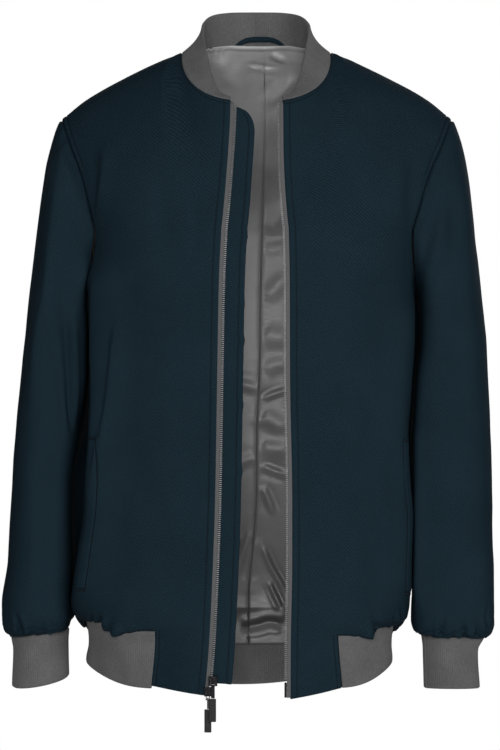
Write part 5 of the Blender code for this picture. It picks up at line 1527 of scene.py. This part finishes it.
# As above, seen from in front, minus heights stand towards the wearer.
LINING_CREASES = [
    (-2.4, 2.4, 1.0, 0.5, 0.2, 0.4, (-4, -7.5), (11, -10.3), (34, -13.2)),
    (-4.2, 6.0, 1.0, 0.4, 0.3, 0.3, (14, -50), (28.5, -37.7), (41.6, -25.7), (52, -16)),
    (-2.6, 4.0, 1.0, 0.2, 0.3, 0.4, (20, 8), (33, 0), (42, -3)),
    (-3.4, 8.0, 1.0, 0.2, 0.3, 0.4, (-34, 4), (-27, -16), (-14, -34)),
    (-2.6, 8.0, 1.0, 0.3, 0.3, 0.4, (-16, 0), (-12, -20), (-4, -42)),
    (-1.6, 9.0, 1.0, 0.2, 0.3, 0.4, (14, -74), (32, -66), (50, -52)),
    (-1.4, 10, 1.0, 0.2, 0.3, 0.4, (-4, -70), (0, -96), (2, -124)),
    (-2.2, 1.5, 1.0, 0.3, 0.1, 0.5, (-43, 11), (-41, 1)),
    (-2.0, 1.5, 1.0, 0.3, 0.1, 0.5, (-36, 10), (-34.5, -2)),
    (-1.8, 1.4, 1.0, 0.3, 0.1, 0.5, (-30, 10), (-29, 2)),
    (-1.4, 1.4, 1.0, 0.3, 0.1, 0.5, (-23, 10), (-22, 3)),
    (-1.8, 12, 1.0, 0.2, 0.4, 0.4, (14, -128), (28, -112), (44, -100)),
    (-2.0, 11, 1.0, 0.2, 0.3, 0.4, (13, -186), (30, -170), (48, -152)),
    (-1.2, 6.0, 1.0, 0.2, 0.3, 0.4, (12, -205), (26, -203), (44, -196)),
    (-1.8, 9.0, 1.0, 0.2, 0.3, 0.4, (13, -262), (28, -246), (46, -226)),
    (-1.8, 11, 1.0, 0.2, 0.3, 0.4, (12, -292), (30, -300), (48, -298)),
    (-1.6, 8.0, 1.0, 0.2, 0.3, 0.4, (12, -338), (28, -330), (48, -326)),
    (-1.4, 3.2, 1.0, 0.4, 0.2, 0.4, (12, -368), (26, -362), (46, -356)),
    (-1.8, 9.0, 1.0, 0.3, 0.2, 0.4, (12, -384), (26, -392), (44, -404)),
    (-1.6, 8.0, 1.0, 0.3, 0.2, 0.4, (12, -420), (28, -422), (46, -424)),
    (-1.5, 3.4, 1.0, 0.4, 0.2, 0.4, (12, -440), (26, -446), (44, -452)),
    (-1.4, 5.0, 1.0, 0.3, 0.2, 0.5, (8, -357), (-6, -352), (-24, -350)),
    (-1.2, 5.0, 1.0, 0.3, 0.2, 0.5, (8, -430), (-8, -436), (-26, -446)),
    (-1.8, 3.5, 1.0, 0.3, 0.2, 0.4, (13, -462), (20, -478), (28, -496)),
    (-2.4, 3.0, 1.0, 0.5, 0.2, 0.3, (12, -526), (25, -554.6), (34, -570), (40.5, -585)),
    (-2.4, 2.6, 1.0, 0.6, 0.2, 0.3, (20.8, -567.7), (29.6, -587.4), (36, -600.5)),
    (-1.8, 4.0, 1.0, 0.4, 0.3, 0.4, (6, -500), (-6, -530), (-18, -566)),
    (-3.4, 4.0, 1.0, 0.6, 0.2, 0.2, (-11.4, -618.5), (8.3, -615.3), (21.5, -612), (39, -615.3)),
]
line_w = np.concatenate([steps((0.95, 1, 9))[:-1], steps((1, 1.3, 60), (1.3, 2, 130), (2, 3, 24), (3, 3.9, 52), (3.9, 4, 20))])
for side in (-1, 1):
    u = steps((0, 0.009, 5), (0.009, 0.6, 32), (0.6, 1, 8), (1, 1.97, 18))
    U, W = np.meshgrid(u, line_w)
    W_in = np.maximum(W, 1)
    P, N = torso(side, 1, U, W_in), torso_normals(side, 1, U, W_in)
    N[:, 0] = unit(N[:, 0] * (0, 1, 1))
    half_name = SIDE_NAME[side]
    under = np.nonzero(line_w < 1)[0]
    high = P[under, :, 2]
    low = high - 0.0135 * (1 - line_w[under][:, None]) / 0.05
    P[under, :, 0] = middle(low) + (P[under, :, 0] - middle(high)) * along(TORSO, "z", half_name, low) / along(TORSO, "z", half_name, high)
    P[under, :, 1] *= along(TORSO, "z", "back", low) / along(TORSO, "z", "back", high)
    P[under, :, 2] = low
    P[..., 0] += LINING_SHIFT * (1 - ease(np.abs(P[..., 0] - middle(P[..., 2])) / 0.07))
    inset = mix(0.0068, 0.0046, ease((W - 1.0) / 0.5)) + 0.0012 * ease((W - 3.5) / 0.5)
    P = P - N * inset[..., None]
    P = pull_in(P, HALF_GAP, right=False, foot=False, top=False)
    # its upper edge rolls over the collar's seam
    rising = unit(unit(P[-1] - P[-3]) + np.array([0, 0, 1.6]))
    level = np.clip(NECK_RISE - P[-1, :, 2], 0, 0.006) * ease((0.066 - np.abs(P[-1, :, 0] - middle(P[-1, :, 2]))) / 0.012)
    P[-12:] += rising * (0.0022 + level[:, None]) * ease(np.arange(1, 13) / 12)[:, None, None]
    s, r = runs(P)
    from_top = r[-1:] - r
    # wrinkles stand off inwards, towards the wearer
    D = crease_field(P, N, LINING_CREASES, 1)
    D -= (0.0010 + 0.0012 * ease((P[..., 2] + 0.1) / 0.05)) * (smooth_noise(P * (1, 1, 0.6), 0.034, 101) + 0.8)
    pucker = line_noise(r, 0.0085, 103) * np.exp(-((s / 0.006) ** 1.4)) * (1 - np.exp(-((s / 0.0016) ** 2)))
    D -= 0.0012 * np.maximum(pucker, -0.15) * mix(0.2, 1, ease((-0.300 - P[..., 2]) / 0.06))
    D -= 0.0004 * np.exp(-(((s - 0.0013) / 0.0006) ** 2))
    D += 0.0005 * np.exp(-((s / 0.0006) ** 2))
    roll = 0.6 + 0.9 * ease(1.6 - np.abs(P[..., 0] - 0.004) / 0.026)
    D -= 0.0012 * roll * np.exp(-(((from_top - 0.0026) / 0.0022) ** 2)) * (U < 1)
    D += 0.0005 * np.exp(-(((from_top - 0.0062) / 0.0009) ** 2)) * (U < 1)
    D = np.minimum(D, 0.0009)
    F = P + N * D[..., None]
    uv = np.stack([s * side, r], axis=-1)
    ob = cloth(f"lining_satin_{SIDE_NAME[side]}", F, N, LINING_WALL, (SATIN, SATIN), uv)
    sheet(ob, P, f"lining_back_{SIDE_NAME[side]}")
    # overcast stitches under the roll
    line, nor = offset_line(F[:, :46], N[:, :46], "top", 0.0062)
    places = stitch_places(line[1:], -nor[1:], 0.0017, 0.0026, 0.0006, 0.0002)
    if len(places):
        turned = places.copy()
        turned[:, 1], turned[:, 2] = places[:, 2] / 0.0006 * 0.0026, -places[:, 1] / 0.0026 * 0.0006
        THREADS["grey"].append(turned)

# ---------------------------------------------------------------- zip: tapes, teeth, wind strip
zip_w = steps((0.02, 1, 30), (1, 2, 180), (2, 3, 30), (3, 3.985, 80))
TOOTH_PITCH = 0.0020
bm = bmesh.new()
bmesh.ops.create_cube(bm, size=1.0)
bmesh.ops.bevel(bm, geom=bm.verts[:] + bm.edges[:], offset=0.16, segments=1, affect="EDGES")
tooth_v = [tuple(v.co) for v in bm.verts]
tooth_f = [tuple(v.index for v in f.verts) for f in bm.faces]
bm.free()
for side in (-1, 1):
    P, N = edge_strip(side, zip_w, 0.0003, TAPE_WIDTH, 0.0007, 5)
    s, r = runs(P)
    F = P + N * (0.00012 * np.cos(2 * math.pi * s / 0.0012))[..., None]
    ob = cloth(f"tape_{SIDE_NAME[side]}", F, N, 0.0009, (TAPE, TAPE), np.stack([s, r], axis=-1))
    sheet(ob, P, f"zip_tape_{SIDE_NAME[side]}")
    w = zip_w if side < 0 else zip_w[zip_w > 0.31]
    P, N = edge_strip(side, w, TAPE_WIDTH + 0.0003, TAPE_WIDTH + 0.0003 + CHAIN_WIDTH, 0.0001, 1)
    inner, outer = P[:, 0], P[:, 1]
    gone = np.concatenate([[0], np.cumsum(np.linalg.norm(np.diff(inner, axis=0), axis=1))])
    c = np.arange(TOOTH_PITCH / 2, gone[-1] - TOOTH_PITCH / 2, TOOTH_PITCH)
    at = lambda A, q: np.stack([np.interp(q, gone, A[:, k]) for k in range(3)], axis=1)
    a, b, nn = at(inner, c), at(outer, c), unit(at(N[:, 0], c))
    y = unit(at(inner, c + 0.0005) - at(inner, c - 0.0005))
    x = unit(b - a)
    nn = unit(np.cross(x, y)) * np.sign((np.cross(x, y) * nn).sum(1, keepdims=True))
    places = np.stack([(a + b) / 2 - nn * 0.0011, x * 0.0028, y * TOOTH_PITCH * 0.50, nn * 0.0021], axis=1)
    teeth = joined_copies(f"teeth_{SIDE_NAME[side]}", tooth_v, tooth_f, places, (TEETH,), smooth=False)
    cords = []
    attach(teeth, "jacket")
    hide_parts(f"zip_chain_{SIDE_NAME[side]}")

w = steps((0.20, 0.45, 6), (0.45, 1, 12), (1, 2, 120), (2, 3, 20), (3, 3.80, 36), (3.80, 3.96, 12))
corner = np.clip((w - 3.80) / 0.16, 0, 1)
far = UNDERLAP_WIDTH - 0.0165 * (1 - np.sqrt(np.clip(1 - corner**2, 0, 1)))
for z_lump, tall in ((-0.199, 0.0010), (-0.306, 0.0012), (-0.373, 0.0009), (-0.440, 0.0011), (-0.268, 0.0005), (-0.512, 0.0007)):
    height = torso(-1, -1, np.zeros_like(w), w)[:, 2]
    far = far + tall * np.exp(-(((height - z_lump) / 0.0045) ** 2))
sunk = mix(0.0056, 0.0034, ease((w - 0.45) / 0.55))
P, N = edge_strip(-1, w, -0.008, far, sunk[:, None], count=44)
s, r = runs(P)
free = s[:, -1:] - s
D = seam_relief(free, 0.0003, 0.0010, 0.0003, 0.0055)
F = P + N * D[..., None]
uv = np.stack([s, r], axis=-1)
# painted shade along its line of stitches
under = cloth("wind_strip", F, N, 0.0014, (TWILL, TWILL), uv, dark=0.55 * groove(free, 0.0055))
sheet(under, P, "zip_underlap")
line, nor = offset_line(F[:-8], N[:-8], "right", 0.0055)
THREADS["navy"].append(stitch_places(line, nor))

# ---------------------------------------------------------------- pocket welts
for side in (-1, 1):
    FOOT_W, TOP_W = welt_w(POCKET_FOOT), welt_w(POCKET_TOP)
    ua, ub = WELT_U[side]
    form = lambda u, w: torso(side, -1, u, w)
    w = steps((FOOT_W, FOOT_W + 0.012, 7), (FOOT_W + 0.012, TOP_W - 0.012, 74), (TOP_W - 0.012, TOP_W, 7))
    U = spaced(form, w, ua, ub, [0, 0.5, 1.0, 1.5, 2.0, 2.5, 3.2], [0, 0.6, 1.4], 7)
    W = np.broadcast_to(w[:, None], U.shape)
    P, N = torso(side, -1, U, W), torso_normals(side, -1, U, W)
    s, r = runs(P)
    D = crease_field(P, N, FRONT_CREASES[side]) + 0.0006 * smooth_noise(P, 0.045, 11 + side) + 0.0003 * smooth_noise(P, 0.018, 21 + side)
    ends = np.minimum(r, r[-1:] - r)
    D += 0.0006 + 0.0007 * ease(s / 0.0012)
    D -= 0.0008 * np.exp(-(((s - 0.0020) / 0.0006) ** 2)) + 0.0008 * np.exp(-(((ends - 0.0024) / 0.0007) ** 2))
    F = P + N * D[..., None]
    F = F + body_swing(P, W)
    # painted shade along its stitched edges
    painted_stitch_shade = np.maximum(groove(s, 0.0010, 0.0010), groove(ends, 0.0022, 0.0011))
    ob = cloth(f"welt_{SIDE_NAME[side]}", F, N, 0.0010, (TWILL, TWILL), np.stack([side * (s + 0.2), r + 0.04], axis=-1), rim=0.1, dark=painted_stitch_shade)
    sheet(ob, P + body_swing(P, W), f"pocket_welt_{SIDE_NAME[side]}")
    line, nor = offset_line(F, N, "left", 0.002)
    THREADS["navy"].append(stitch_places(line, nor))
    for end in ("foot", "top"):
        line, nor = offset_line(F, N, end, 0.0024)
        THREADS["navy"].append(stitch_places(line, nor, 0.0016, 0.0015, 0.0012))

# ---------------------------------------------------------------- hanger loop
LOOP_MID, LOOP_HALF, LOOP_RISE = 0.0107, 0.0265, 0.0085
t = steps((-1, 1, 40))
foot = np.stack([LOOP_MID + t * LOOP_HALF, 0.0482 - 0.001 * np.abs(t) ** 3, 0.0090 + LOOP_RISE * (1 - np.abs(t) ** 3.2)], axis=-1)
rise = np.array([0, 0.0004, 1.0]) * (0.0044 - 0.0012 * np.abs(t) ** 2)[:, None]
P = np.stack([foot + rise * k for k in np.linspace(0, 1, 6)])
N = np.broadcast_to(np.array([0.0, 1.0, 0.0]), P.shape).copy()
s, r = runs(P)
F = P - np.array([0, 1, 0]) * (0.0004 * np.sin(np.linspace(0, 1, 6) * math.pi))[:, None, None]
loop = cloth("loop", F, N, 0.0014, (TWILL, TWILL), np.stack([s, r], axis=-1))
sheet(loop, P, "hanger_loop")

# ---------------------------------------------------------------- stitches
for colour, mat in (("navy", THREAD), ("grey", GREY_THREAD)):
    if THREADS[colour]:
        ob = joined_copies(f"stitches_{colour}", STITCH_V, STITCH_F, np.concatenate(THREADS[colour]), (mat,))
        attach(ob, "jacket")

# ---------------------------------------------------------------- carried-over nodes
for name in ("zip_slider_upper", "zip_slider_lower", "zip_pin_left", "pull_upper_link", "pull_lower_link"):
    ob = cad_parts[name]
    for sl in ob.material_slots:
        sl.material = METAL
for name in ("pull_upper_tab", "pull_lower_tab"):
    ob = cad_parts[name]
    for sl in ob.material_slots:
        sl.material = RUBBER

# ---------------------------------------------------------------- floor, light, camera
def floor():
    bm = bmesh.new()
    rings, seg = 10, 72
    rows = []
    for k in range(rings + 1):
        rad = 5.5 * k / rings
        if k == 0:
            rows.append([bm.verts.new((0, 0, -1.45))])
        else:
            rows.append([bm.verts.new((rad * math.cos(2 * math.pi * i / seg), rad * math.sin(2 * math.pi * i / seg), -1.45)) for i in range(seg)])
    for k in range(1, rings + 1):
        for i in range(seg):
            j = (i + 1) % seg
            if k == 1:
                bm.faces.new((rows[0][0], rows[1][i], rows[1][j]))
            else:
                bm.faces.new((rows[k - 1][i], rows[k][i], rows[k][j], rows[k - 1][j]))
    me = bpy.data.meshes.new("floor")
    bm.to_mesh(me)
    bm.free()
    n = Nodes("pale_floor")
    place = n.node("ShaderNodeTexCoord").outputs["Object"]
    n.set(Base_Color=n.ramp(n.noise(place, 3, 3), (0.3, (0.80, 0.80, 0.80)), (0.7, (0.84, 0.84, 0.84))), Roughness=n.remap(n.noise(place, 20, 2), 0, 1, 0.8, 0.9))
    me.materials.append(n.mat)
    ob = link(bpy.data.objects.new("floor", me))


floor()

world = bpy.data.worlds.new("studio")
bpy.context.scene.world = world
world.use_nodes = True
wt = world.node_tree
wt.nodes.clear()
out = wt.nodes.new("ShaderNodeOutputWorld")
paths = wt.nodes.new("ShaderNodeLightPath")
seen = wt.nodes.new("ShaderNodeBackground")
seen.inputs[0].default_value = (1, 1, 1, 1)
seen.inputs[1].default_value = 1.0
glow = wt.nodes.new("ShaderNodeBackground")
glow.inputs[0].default_value = (1, 1, 1, 1)
glow.inputs[1].default_value = 0.115
both = wt.nodes.new("ShaderNodeMixShader")
wt.links.new(paths.outputs["Is Camera Ray"], both.inputs[0])
wt.links.new(glow.outputs[0], both.inputs[1])
wt.links.new(seen.outputs[0], both.inputs[2])
wt.links.new(both.outputs[0], out.inputs[0])


def area(name, place, aim, size, power):
    data = bpy.data.lights.new(name, "AREA")
    data.shape = "RECTANGLE"
    data.size, data.size_y = size
    data.energy = power
    ob = link(bpy.data.objects.new(name, data))
    ob.location = place
    from mathutils import Vector

    ob.rotation_euler = (Vector(aim) - Vector(place)).to_track_quat("-Z", "Y").to_euler()
    return ob


area("key_box", (-0.12, -4.2, 0.30), (0, 0, -0.33), (1.5, 1.5), 126)
area("right_fill", (2.7, -3.0, 0.4), (0, 0, -0.33), (1.8, 2.0), 50)
area("top_box", (0.2, -1.4, 2.3), (0, 0, -0.2), (1.8, 1.4), 7)
area("back_box_right", (-0.5, 3.8, 1.0), (0, 0, -0.33), (1.6, 1.8), 28)
area("back_box_left", (1.5, 3.4, 1.0), (0, 0, -0.33), (1.6, 1.8), 36)

camera = bpy.data.cameras.new("camera")
camera.sensor_width = 36
camera.lens = 158.49
camera.clip_end = 60
cam = link(bpy.data.objects.new("camera", camera))
cam.location = (0, -3.5, -0.341)
cam.rotation_euler = (math.pi / 2, 0, 0)
scene = bpy.context.scene
scene.camera = cam
scene.view_settings.view_transform = "Standard"
scene.view_settings.look = "None"
scene.view_settings.exposure = 0
scene.view_settings.gamma = 1
